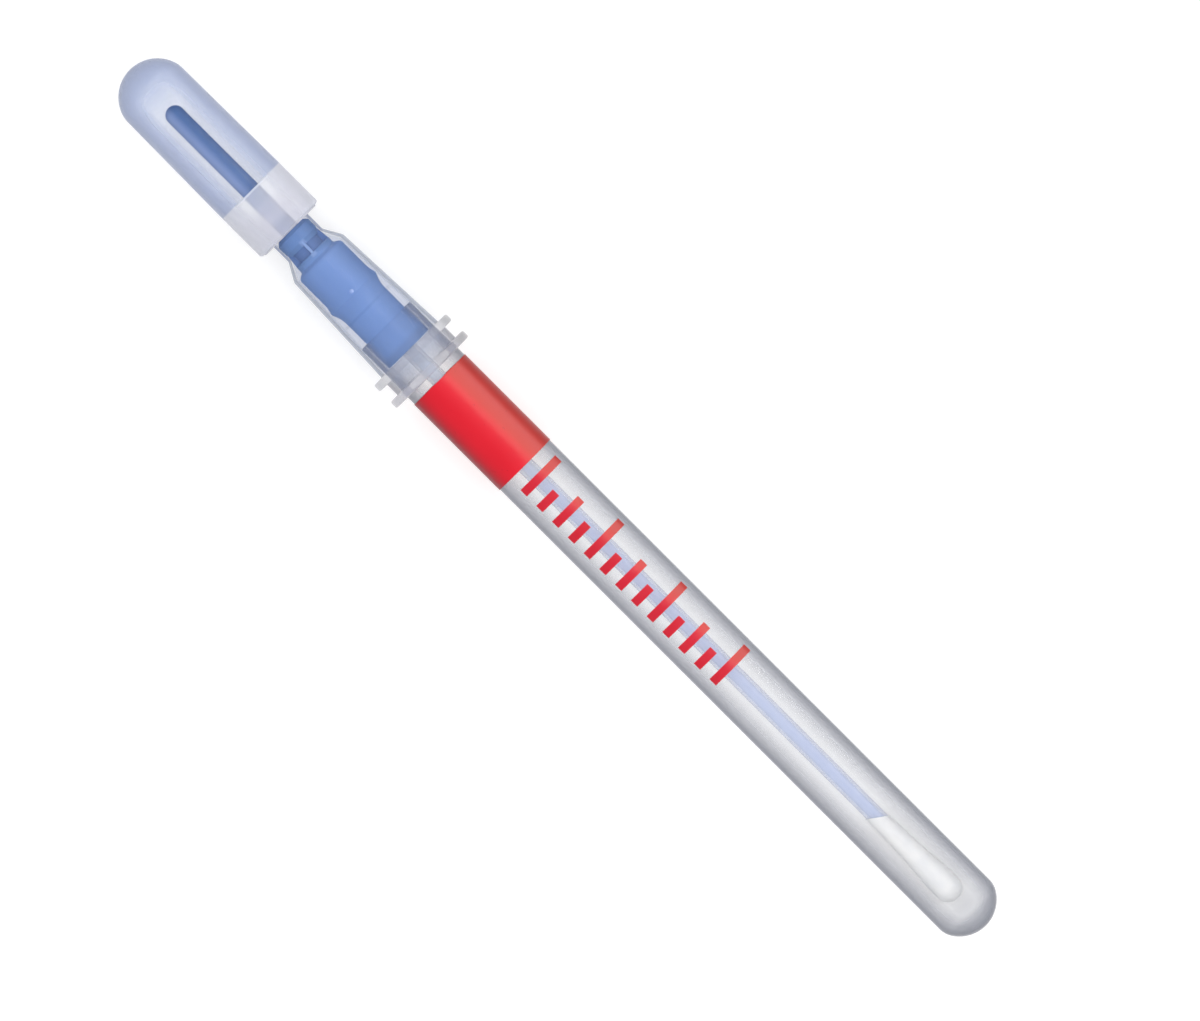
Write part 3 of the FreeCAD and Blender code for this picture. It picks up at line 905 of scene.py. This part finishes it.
liquidValues = {
    "gap": 0.05,
    "stemRadius": 1.5,
    "segments": 96,
    "look": {
        "front": (0.05, 0.1, 0.4, 1.0),
        "back": (0.26, 0.42, 0.35, 0.7),
        "calm": (150.0, 150.0, 0.0),
        "bore": (0.0, 0.0, 0.5, 1.0),
        "boreColor": ink(180, 201, 244),
        "lightLetIn": 0.85,
        "colors": (ink(180, 201, 238), ink(185, 205, 241)),
        "cloud": (70.0, 0.5, 0.1),
        "flow": (60.0, 0.5, 0.02),
        "scuff": (100.0, 1.0),
        "roughness": (0.02, 0.06),
        "ior": 1.33,
        "gloss": 0.2,
    },
}


def makeBulb():
    v = bulbValues
    mouth, plugTop, top = levels["bulbMouth"], levels["plugTop"], levels["bulbTop"]
    radius, wall, steps = v["radius"], v["wall"], v["topSteps"]
    slim, bore = radius - v["draft"], radius - wall
    depth, knuckle = slim - v["topFlat"], slim - v["topOffset"]
    foot = top - depth
    corners = [(bore, mouth), (radius, mouth, v["mouthRound"]), (radius, plugTop)]
    outer = outline(corners, steps=8) + roundEnd(slim, depth, knuckle, foot, 1, steps)
    inner = roundEnd(slim - wall, depth - wall, knuckle - wall, foot, 1, steps)[::-1]
    inner += [(bore, plugTop), (bore, mouth)]
    run = v["longestRun"]
    section = skin(spread(outer, run)) + skin(spread(inner, run), 1)
    mesh = turned("squeezeBulb", section, clearFinish("bulbPlastic", v["look"]), v["segments"])
    return pieceFrom(mesh, "swab_head", ["squeeze_bulb"])


def makeLiquid():
    v, b = liquidValues, bulbValues
    gap, foot = v["gap"], levels["plugTop"] + v["gap"]
    slim, outside = b["radius"] - b["draft"], b["radius"] - b["wall"] - gap
    depth = slim - b["topFlat"]
    knuckle = slim - b["topOffset"] - b["wall"] - gap
    inside = v["stemRadius"] + gap
    domeFoot = levels["bulbTop"] - depth
    points = [(inside, foot), (outside, foot)]
    points += roundEnd(outside - b["draft"], depth - b["wall"] - gap, knuckle, domeFoot, 1)
    hollow = dome(inside, levels["stemTip"] - v["stemRadius"] + inside)[::-1] + points[:1]
    section = skin(spread(points, b["longestRun"])) + skin(hollow, 1)
    mesh = turned("liquidReagent", section, clearFinish("reagentLiquid", v["look"]), v["segments"])
    return pieceFrom(mesh, "swab_head", ["reagent"])


makeBulb()
makeLiquid()
print("swab: the bulb is made")


# the snap valve

valveValues = {
    "stem": 1.5,
    "head": 3.1,
    "headBevel": 0.6,
    "headRounds": (0.2, 0.15),  # at its foot and at its bevel
    "taper": 2.7,
    "taperHeight": 0.8,
    "taperRound": 0.08,
    "groove": 2.35,
    "grooveHeight": 1.6,
    "collar": 3.3,
    "collarHeight": 1.05,
    "collarRound": 0.45,
    "barrel": 4.3,
    "barrelDrop": 0.35,
    "barrelSlope": 0.6,
    "barrelRound": 0.7,
    "ridgeHeight": 6.72,
    "ridge": 4.6,
    "ridgeRound": 0.08,
    "ridgeLead": 1.3,
    "ridgeFall": 1.6,
    "ridgeBlends": (5.0, 4.0),  # the easing where it starts to rise, and over it
    "waist": 3.95,
    "seal": 4.15,
    "sealDrop": 0.1,
    "sealRound": 0.06,
    "socket": 1.38,
    "channel": 0.85,
    "socketDepth": 8.0,
    "channelStop": 0.5,
    "edge": 0.12,
    "longestRun": 2.0,
    "segments": 144,
    "ribCount": 4,
    "ribReach": 3.12,
    "ribSink": 0.2,
    "ribWidth": 0.6,
    "ribRunOut": 0.6,  # how far the ribs run up the head's foot
    "ribTaper": 0.13,  # how far their outer face slants along the groove
    "ribEase": (0.45, 0.72),  # from where out a rib narrows, and to which share
    "crestFrom": 0.7,  # how squarely a face looks outwards, to be a rib's crest
    "gateHeight": 133.8,
    "gateRadius": 0.36,
    "gateRise": 0.12,
    "gateSink": 0.1,
    "gateSegments": 24,
    "barrelBlues": (ink(114, 147, 203), ink(107, 140, 196)),
    # painted shade at the barrel's end, inside the tube's rim
    "endBlue": ink(104, 131, 179),
    "endRise": (1.9, 0.7),  # mm over the barrel's end
    "neckBlue": ink(95, 130, 181),
    "neckRise": (-0.2, 1.4),  # mm over the shoulder
    "stemBlue": ink(66, 103, 158),
    "stemRise": (0.0, 0.3),  # mm over the neck
    # the stem's lighter side is painted light
    "stemPaintedLight": ink(138, 158, 202),
    "stemPaintedLightFrom": 0.2,  # mm over the neck
    "paintedLightSide": (0.525, -1.05),  # mm across
    # painted shade in the breaking groove, which the ribs' sides take too
    "grooveShadeBlue": ink(78, 108, 164),
    "grooveDepth": (0.15, 0.0),  # mm out from the groove's wall
    "grooveHeights": (0.5, -1.0),  # mm over the shoulder, and over the neck
    # painted highlight on the ribs' crests and on the pale patches on the collar and the head
    "ribHighlightBlue": ink(142, 167, 211),
    "patchSide": (0.62, 0.3),
    "patchDepth": 0.1,
    "patchFoot": (0.5, 0.9),  # mm over the shoulder, and so is the next
    "patchTop": (3.95, 3.6),
    "patchShare": 0.75,
    "flow": (160.0, 4.0, 0.3),  # scale, detail, and stretch along the axis
    "flowRange": (0.35, 0.65),
    "grain": (1600.0, 2.0),
    # the ribs' sides take the groove's painted shade, with a little grain
    "ribShadeSpeckle": (0.2, 0.8, 0.9, 1.0),  # the grain's range, and the share that it gives
    "bump": (0.08, 0.03),
    "roughness": (0.42, 0.55),
    "gloss": 0.03,
    "gatePales": (ink(128, 154, 208), ink(137, 162, 215)),
    "gateGrain": (900.0, 3.0),
    "gateBump": (0.2, 0.05),
    "gateRoughness": (0.4, 0.55),
}


def makeBlueFinish(name, ribs=False):
    v = valveValues
    finish = Finish(name)
    x, across, height = finish.places()
    reach = (x * x + across * across) ** 0.5
    shoulder, neckTop = levels["shoulder"], levels["neckTop"]
    flow, grain = finish.noise(*v["flow"]), finish.noise(*v["grain"])

    def rise(level, heights):
        return finish.over(height, *[level + lift for lift in heights])

    color = finish.mixed(finish.between(flow, *v["flowRange"]), *v["barrelBlues"])
    # the neck and the stem have their own blues, and the barrel's end takes a painted shade
    for level, part in ((shoulder, "neck"), (neckTop, "stem"), (levels["barrelEnd"], "end")):
        color = finish.mixed(rise(level, v[part + "Rise"]), color, v[part + "Blue"])
    # painted light: the stem is lighter along its -Y side, as if lit from there
    paintedLitSide = finish.over(across, *v["paintedLightSide"]) * (height > (neckTop + v["stemPaintedLightFrom"]) * mm)
    color = finish.mixed(paintedLitSide, color, v["stemPaintedLight"])
    if ribs:
        # painted light and shade: only the crest of a rib is pale, as if lit, and its sides take
        # the groove's painted shade with a little grain
        ribShadeSpeckle = finish.between(grain, *v["ribShadeSpeckle"])
        color = finish.mixed(ribShadeSpeckle, color, v["grooveShadeBlue"])
        color = finish.mixed(finish.attribute("crest"), color, v["ribHighlightBlue"])
    else:
        # painted highlight: pale patches on the collar and the head where the ribs run out
        offset = x.math("MINIMUM", abs(x), abs(across))
        highlightPatch = finish.over(offset, *v["patchSide"])
        highlightPatch = highlightPatch * (reach > (v["groove"] + v["patchDepth"]) * mm)
        highlightPatch = highlightPatch * rise(shoulder, v["patchFoot"]) * rise(shoulder, v["patchTop"])
        color = finish.mixed(highlightPatch * v["patchShare"], color, v["ribHighlightBlue"])
        # painted shade deep in the breaking groove
        foot, top = v["grooveHeights"]
        paintedShade = finish.over(reach, *[v["groove"] + depth for depth in v["grooveDepth"]])
        paintedShade = paintedShade * (height > (shoulder + foot) * mm) * (height < (neckTop + top) * mm)
        color = finish.mixed(paintedShade, color, v["grooveShadeBlue"])
    return finish.surface(
        color=color,
        roughness=finish.fromNoise(flow, *v["roughness"]),
        normal=finish.bump(grain, *v["bump"]),
        gloss=v["gloss"],
    )


def valveOutline():
    v = valveValues
    neckTop, stemTip, stem = levels["neckTop"], levels["stemTip"], v["stem"]
    barrelTop = levels["shoulder"] - v["barrelDrop"]
    collarFoot = barrelTop + v["barrelSlope"]
    grooveFoot = collarFoot + v["collarHeight"]
    taperFoot = grooveFoot + v["grooveHeight"]
    headFoot = taperFoot + v["taperHeight"]
    headFootRound, headRound = v["headRounds"]
    crest = levels["rim"] + v["ridgeHeight"]
    risingBlend, leadBlend = v["ridgeBlends"]
    sealTop, sealFoot = levels["rim"] - v["sealDrop"], levels["barrelEnd"]
    socketTop = sealFoot + v["socketDepth"]
    channelTop = grooveFoot - v["channelStop"]
    points = outline(
        [
            (v["socket"], sealFoot),
            (v["seal"], sealFoot, v["edge"]),
            (v["seal"], sealTop, v["sealRound"]),
            (v["waist"], sealTop),
            (v["waist"], crest - v["ridgeFall"], risingBlend),
            (v["ridge"], crest, v["ridgeRound"]),
            (v["barrel"], crest + v["ridgeLead"], leadBlend),
            (v["barrel"], barrelTop, v["barrelRound"]),
            (v["collar"], collarFoot, v["collarRound"]),
            (v["collar"], grooveFoot, v["edge"]),
            (v["groove"], grooveFoot),
            (v["groove"], taperFoot),
            (v["taper"], taperFoot, v["taperRound"]),
            (v["head"], headFoot, headFootRound),
            (v["head"], neckTop - v["headBevel"], headRound),
            (v["head"] - v["headBevel"], neckTop),
            (stem, neckTop),
            (stem, stemTip - stem),
        ]
    )
    hollow = [
        (0.0, channelTop),
        (v["channel"], channelTop),
        (v["channel"], socketTop),
        (v["socket"], socketTop),
        (v["socket"], sealFoot),
    ]
    outer = spread(points + dome(stem, stemTip)[1:], v["longestRun"])
    return outer, hollow, grooveFoot


def ribTree():
    # ribs round the breaking groove, evenly spaced about the axis
    v = valveValues
    lengths = {
        "Inner": v["groove"] - v["ribSink"],
        "Outer": v["ribReach"],
        "Width": v["ribWidth"],
        "Height": v["grooveHeight"] + v["ribRunOut"],
        "Foot": 0.0,
        "Taper": v["ribTaper"],
    }
    tree, source = newTree("Groove ribs", {"Count": v["ribCount"]}, lengths)
    count, inner, outer, tall = source.also("Count", "Inner", "Outer", "Height")
    size = tree.xyz(outer - inner, source.also("Width"), tall)
    counts = {"Vertices X": 3, "Vertices Y": 3, "Vertices Z": 5}
    rib = tree.node("GeometryNodeMeshCube", {}, {"Size": size, **counts})
    # the outer face slants from the collar to the head, and its long edges are eased
    easeFrom, easeTo = v["ribEase"]
    x, y, z = tree.parts(tree.here())
    eased = tree.xyz(x - z / tall * 2 * source.also("Taper"), y * easeTo, z)
    outermost = x > (outer - inner) * easeFrom
    rib = tree.shaped("GeometryNodeSetPosition", rib, Selection=outermost, Position=eased)
    facing, _, _ = tree.parts(tree.node("GeometryNodeInputNormal"))
    rib = tree.stored(rib, "crest", facing > v["crestFrom"], domain="FACE")
    middle = tree.xyz((outer + inner) / 2, z=source.also("Foot") + tall / 2)
    rib = tree.shaped("GeometryNodeTransform", rib, Translation=middle)
    ring = {"Count": count, "Offset": (0, 0, 0)}
    ring = tree.node("GeometryNodeMeshLine", {"mode": "OFFSET"}, ring)
    turn = tree.xyz(z=tree.node("GeometryNodeInputIndex") / count * math.tau)
    turn = tree.node("FunctionNodeEulerToRotation", {}, {0: turn})
    spots = {"Points": ring, "Instance": rib, "Rotation": turn}
    ribs = tree.node("GeometryNodeInstanceOnPoints", {}, spots)
    ribs = tree.shaped("GeometryNodeRealizeInstances", ribs)
    return finishTree(tree, source, tree.keptUpright(ribs))


def reachAt(points, height):
    # how far out an outline that runs upwards is at a height
    for first, second in zip(points, points[1:]):
        if first[1] < height <= second[1]:
            share = (height - first[1]) / (second[1] - first[1])
            return first[0] + (second[0] - first[0]) * share
    return points[-1][0]


def makeGatePip(outer):
    # the small mark that the mould's gate leaves on the barrel
    v = valveValues
    finish = Finish("gatePlastic")
    grain = finish.noise(*v["gateGrain"])
    material = finish.surface(
        color=finish.mixed(grain, *v["gatePales"]),
        roughness=finish.fromNoise(grain, *v["gateRoughness"]),
        normal=finish.bump(grain, *v["gateBump"]),
    )
    points = [(0.0, -v["gateSink"]), (v["gateRadius"], -v["gateSink"])]
    points += [(r * v["gateRadius"], z * v["gateRise"]) for r, z in dome(1.0, 1.0, 6)]
    mesh = turned("gatePip", skin(points), material, v["gateSegments"])
    seat = Vector((reachAt(outer, v["gateHeight"]) * mm, 0, v["gateHeight"] * mm))
    mesh.transform(Matrix.Translation(seat) @ Matrix.Rotation(math.pi / 2, 4, "Y"))
    return pieceFrom(mesh, "swab_head", [])


def makeValve():
    outer, hollow, grooveFoot = valveOutline()
    section = skin(outer) + skin(hollow, 1)
    mesh = turned("snapValve", section, makeBlueFinish("bluePlastic"), valveValues["segments"])
    pieceFrom(mesh, "swab_head", ["snap_valve"], smooth=30)
    base = bpy.data.meshes.new("grooveRibsBase")
    blue = makeBlueFinish("bluePlasticWebs", ribs=True)
    ribs = grown("grooveRibs", base, ribTree(), {"Material": blue, "Foot": grooveFoot * mm})
    pieceFrom(ribs, "swab_head", [], smooth=30)
    makeGatePip(outer)


makeValve()
print("swab: the snap valve is made")


# the swab

swabValues = {
    "shaft": 1.35,
    "shaftBore": 0.85,
    "shaftFoot": 10.9,
    "shaftTop": 129.62,
    "shaftRound": 0.05,
    "shaftRun": 6.0,
    "shaftSegments": 72,
    "look": {
        "front": (0.52, 0.3, 0.35, 0.75),
        "back": (0.52, 0.3, 0.35, 0.75),
        "calm": (10.0, 130.0, 1.0),
        "bore": (0.14, 0.2, 0.7, 1.0),
        "boreColor": ink(176, 192, 232),
        "lightLetIn": 0.7,
        "colors": (ink(202, 213, 242), ink(194, 206, 238)),
        # painted light: the shaft is lighter from 92 mm up and again from 113.6 mm up, where the
        # band and the valve shade it; greyer from 119.6 mm up
        "paints": [
            (92.0, 96.5, ink(214, 231, 252)),
            (113.6, 115.4, ink(214, 226, 240)),
            (117.6, 119.6, ink(194, 198, 203)),
        ],
        "cloud": (160.0, 0.2, 0.1),
        "flow": (500.0, 0.04, 0.06),
        "scuff": (900.0, 0.1),
        "roughness": (0.3, 0.42),
        "ior": 1.49,
        "gloss": 0.1,
    },
    "budLip": 0.1,
    "budSwell": 0.8,
    "budWaist": 0.3,
    "budWaistHeight": 10.6,
    "budBellyHeight": 3.8,
    "budFlat": 0.25,
    "budOffset": 0.65,
    "budEase": 0.35,  # 0 for straight runs between the places on its side, 1 for waves
    "budSteps": 8,
    "budCore": 5.0,  # how far the shaft's end is from the bud's
    "budGap": 0.03,
    "budSlant": -0.72,
    "budSlantFade": 5.0,
    "budColors": (ink(252, 252, 252), ink(244, 245, 247)),
    "budLumps": (420.0, 5.0),
    "budStrands": (900.0, 4.0, 1.0, 0.35),  # the last is the stretch across the axis
    "budBumps": 0.5,
    "bumpDepth": 0.05,
    "budRoughness": (0.85, 0.95),
    "budSheen": (0.4, 0.4),  # how much, and how rough
    "budGloss": 0.1,
    "budRun": 2.0,
    "budSegments": 96,
    "fibreCounts": {"Count": 2600, "Seed": 7},
    "fibreLengths": {"Length": 1.5, "Thickness": 0.014, "Lift": 0.05},
    "fibreBumps": 0.2,
    "fibreSlant": 1.1,  # the most that a fibre turns out of its way round, in radians
    "fibreSizes": (0.6, 1.15),
    "fibreDip": 1.2,  # how far its ends go in and its middle comes out, as shares of the lift
    "fibreArch": 1.6,
    "fibreBow": 0.12,  # as a share of its length
    "fibreSteps": (5, 3),  # along it and round it
}


def makeShaft():
    v = swabValues
    bore, shaft, edge = v["shaftBore"], v["shaft"], v["shaftRound"]
    foot, top = v["shaftFoot"], v["shaftTop"]
    outer = outline([(bore, foot), (shaft, foot, edge), (shaft, top, edge), (bore, top)])
    inner, run = [(bore, top), (bore, foot)], v["shaftRun"]
    section = skin(spread(outer, run)) + skin(spread(inner, run), 1)
    material = clearFinish("shaftPlastic", v["look"])
    mesh = turned("hollowShaft", section, material, v["shaftSegments"])
    return pieceFrom(mesh, "swab_head", ["swab_shaft"])


def budSection():
    v = swabValues
    tip, top, shaft = levels["budTip"], levels["budTop"], v["shaft"]
    belly = shaft + v["budSwell"]
    depth, steps = belly - v["budFlat"], v["budSteps"]
    end = roundEnd(belly, depth, belly - v["budOffset"], tip + depth, -1, steps)[::-1]
    places = [
        (belly, tip + v["budBellyHeight"]),
        (shaft + v["budWaist"], tip + v["budWaistHeight"]),
        (shaft + v["budLip"], top),
    ]
    # the side runs smoothly through these places
    side = []
    for here, there in zip([end[-1]] + places, places):
        for step in range(1, steps + 1):
            share = step / steps
            wave = share * share * (3 - 2 * share)
            ease = wave * v["budEase"] + share * (1 - v["budEase"])
            reach = here[0] + (there[0] - here[0]) * ease
            side.append((reach, here[1] + (there[1] - here[1]) * share))
    bore, coreTip = shaft + v["budGap"], tip + v["budCore"] - v["budGap"]
    inner = [(bore, top), (bore, coreTip), (0.0, coreTip)]
    return skin(end + side) + skin(spread(inner, v["budRun"]), 1)


def budFinish(name, bumps):
    v = swabValues
    finish = Finish(name)
    lumps, strands = finish.noise(*v["budLumps"]), finish.noise(*v["budStrands"])
    sheen, sheenRoughness = v["budSheen"]
    return finish.surface(
        color=finish.mixed(finish.fromNoise(lumps), *v["budColors"]),
        roughness=finish.fromNoise(strands, *v["budRoughness"]),
        normal=finish.bump(strands, bumps, v["bumpDepth"]),
        sheen=sheen,
        sheenRoughness=sheenRoughness,
        gloss=v["budGloss"],
    )


def fibreTree():
    # short curled fibres that lie on the bud, wound mostly round it
    v = swabValues
    tree, source = newTree("Bud fibres", v["fibreCounts"], v["fibreLengths"])
    count, seed, long, lift = source.also("Count", "Seed", "Length", "Lift")

    def random(number, low, high):
        values = {2: low, 3: high, "Seed": seed + number}
        return tree.node("FunctionNodeRandomValue", {"data_type": "FLOAT"}, values, output=1)

    faces = {"Geometry": source, "Attribute": tree.node("GeometryNodeInputMeshFaceArea")}
    settings = {"data_type": "FLOAT", "domain": "FACE"}
    area = tree.node("GeometryNodeAttributeStatistic", settings, faces, output="Sum")
    scatter = {"Mesh": source, "Density": count / area, "Seed": seed}
    settings = {"distribute_method": "RANDOM"}
    spots = tree.node("GeometryNodeDistributePointsOnFaces", settings, scatter)
    normal = spots.also("Normal")
    # a fibre dips into the bud at both ends
    stepsAlong, stepsRound = v["fibreSteps"]
    bend = {
        "Resolution": stepsAlong,
        "Start": tree.xyz(long * -0.5, z=lift * -v["fibreDip"]),
        "Middle": tree.xyz(y=long * v["fibreBow"], z=lift * v["fibreArch"]),
        "End": tree.xyz(long * 0.5, z=lift * -v["fibreDip"]),
    }
    strand = tree.node("GeometryNodeCurveQuadraticBezier", {}, bend)
    circle = {"Resolution": stepsRound, "Radius": source.also("Thickness") / 2}
    circle = tree.node("GeometryNodeCurvePrimitiveCircle", {}, circle)
    tube = {"Curve": strand, "Profile Curve": circle, "Fill Caps": True}
    strand = tree.node("GeometryNodeCurveToMesh", {}, tube)
    # Z of a fibre leaves the bud, and X goes round it with a random slant
    up = (0.0, 0.0, 1.0)
    around = {"operation": "CROSS_PRODUCT"}
    around = tree.node("ShaderNodeVectorMath", around, {0: up, 1: normal})
    align = "FunctionNodeAlignRotationToVector"
    turn = tree.node(align, {"axis": "Z"}, {"Vector": normal})
    turn = {"Rotation": turn, "Vector": around}
    turn = tree.node(align, {"axis": "X", "pivot_axis": "Z"}, turn)
    slant = {"Axis": up, "Angle": random(1, -v["fibreSlant"], v["fibreSlant"])}
    slant = tree.node("FunctionNodeAxisAngleToRotation", {}, slant)
    turn = tree.node("FunctionNodeRotateRotation", {"rotation_space": "LOCAL"}, {0: turn, 1: slant})
    placed = {"Points": spots, "Instance": strand, "Rotation": turn}
    placed["Scale"] = random(2, *v["fibreSizes"])
    return finishTree(tree, source, tree.node("GeometryNodeInstanceOnPoints", {}, placed))


def slantBud(mesh):
    # the winding starts along a slanting line
    v = swabValues
    top = levels["budTop"] * mm
    for vertex in mesh.vertices:
        share = 1 - (top - vertex.co.z) / (v["budSlantFade"] * mm)
        if share > 0:
            vertex.co.z += v["budSlant"] * vertex.co.y * share * share


def makeBud():
    v = swabValues
    material = budFinish("budFibre", v["budBumps"])
    mesh = turned("swabBud", budSection(), material, v["budSegments"])
    slantBud(mesh)
    # the fibres grow on the outside only
    outside = bmesh.new()
    outside.from_mesh(mesh)
    inside = outside.verts.layers.float["inside"]
    hidden = [face for face in outside.faces if any(vert[inside] > 0.5 for vert in face.verts)]
    bmesh.ops.delete(outside, geom=hidden, context="FACES")
    outsideMesh = bpy.data.meshes.new("budSkin")
    outside.to_mesh(outsideMesh)
    outside.free()
    material = budFinish("looseFibre", v["fibreBumps"])
    fibres = grown("budFibres", outsideMesh, fibreTree(), {"Material": material})
    pieceFrom(mesh, "swab_head", ["swab_tip"], smooth=60)
    pieceFrom(fibres, "swab_head", [], smooth=80)


makeShaft()
makeBud()
print("swab: the swab is made")


# floor, lights and camera

stageValues = {
    "floorSize": 30.0,
    "floorColor": (0.6, 0.6, 0.6),
    "floorWhite": 0.5,
    "worldLight": 0.45,
    # the distance, the degrees from straight up, the size, the power, and the kind of ray that
    # doesn't see it
    "lamps": {
        "topSoftbox": (0.8, 2.0, (0.8, 0.8), 5.2, "glossy"),
        "sideSoftbox": (0.9, 51.5, (2.0, 1.43), 66.0, "diffuse"),
    },
}


def whereSeen(tree):
    # 1 for rays that see the background, straight or in a reflection, and 0 for light rays
    path = tree.node("ShaderNodeLightPath", output="Is Camera Ray")
    return (path + path.also("Is Glossy Ray") + path.also("Is Transmission Ray")).clamped()


def makeFloor():
    v = stageValues
    half = v["floorSize"] / 2
    mesh = bpy.data.meshes.new("floor")
    corners = [(-half, -half, 0), (half, -half, 0), (half, half, 0), (-half, half, 0)]
    mesh.from_pydata(corners, [], [(0, 1, 2, 3)])
    finish = Finish("paleFloor")
    paper = finish.node("ShaderNodeBsdfDiffuse", {}, {"Color": v["floorColor"]})
    strength = whereSeen(finish) * v["floorWhite"]
    glow = finish.node("ShaderNodeEmission", {}, {"Strength": strength})
    both = finish.node("ShaderNodeAddShader", {}, {0: paper, 1: glow})
    finish.node("ShaderNodeOutputMaterial", {}, {"Surface": both})
    mesh.materials.append(finish.material)
    floor = bpy.data.objects.new("floor", mesh)
    bpy.context.scene.collection.objects.link(floor)
    floor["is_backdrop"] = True


def makeWorld():
    world = bpy.data.worlds.new("studio")
    world.use_nodes = True
    world.node_tree.nodes.clear()
    tree = Tree(world.node_tree)
    seen = whereSeen(tree)
    strength = seen + (1 - seen) * stageValues["worldLight"]
    sky = {"Color": (1.0, 1.0, 1.0), "Strength": strength}
    light = tree.node("ShaderNodeBackground", {}, sky)
    tree.node("ShaderNodeOutputWorld", {}, {"Surface": light})
    bpy.context.scene.world = world


def makeLamp(name, distance, lean, size, power, blindRays):
    # a soft lamp over the object, leaning to one side
    lamp = bpy.data.lights.new(name, "AREA")
    lamp.shape = "RECTANGLE"
    lamp.size, lamp.size_y = size
    lamp.energy = power
    holder = bpy.data.objects.new(name, lamp)
    place = Matrix.Rotation(math.radians(-lean), 3, "X") @ Vector((0, 0, distance))
    holder.location = place
    holder.rotation_euler = (-place).to_track_quat("-Z", "Y").to_euler()
    holder.visible_camera = False
    setattr(holder, "visible_" + blindRays, False)
    bpy.context.scene.collection.objects.link(holder)


cameraValues = {
    "lens": 600.0,
    "turn": 45.0,  # the closed end points to the lower right
    "farthest": 100.0,
    "widthSeen": 178.92,
    "seenHeight": 6.5,
    "shiftRight": 6.25,  # how far the middle of the view is from the object's middle
    "shiftDown": 1.876,
}


def makeCamera():
    v = cameraValues
    low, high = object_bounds()
    turn = math.radians(v["turn"])
    right = Vector((math.cos(turn), math.sin(turn), 0))
    up = Vector((-math.sin(turn), math.cos(turn), 0))
    middle = (low + high) / 2 + right * v["shiftRight"] * mm - up * v["shiftDown"] * mm
    camera = bpy.data.cameras.new("camera")
    camera.lens = v["lens"]
    camera.clip_end = v["farthest"]
    distance = v["widthSeen"] * mm * v["lens"] / camera.sensor_width
    holder = bpy.data.objects.new("camera", camera)
    holder.location = (middle.x, middle.y, v["seenHeight"] * mm + distance)
    holder.rotation_euler = (0, 0, turn)
    bpy.context.scene.collection.objects.link(holder)
    bpy.context.scene.camera = holder


makeFloor()
makeWorld()
for name, lamp in stageValues["lamps"].items():
    makeLamp(name, *lamp)
makeCamera()
bpy.context.scene.view_settings.view_transform = "Standard"
bpy.context.scene.cycles.transparent_max_bounces = 32  # many clear walls lie behind each other
print("swab: the stage is set")
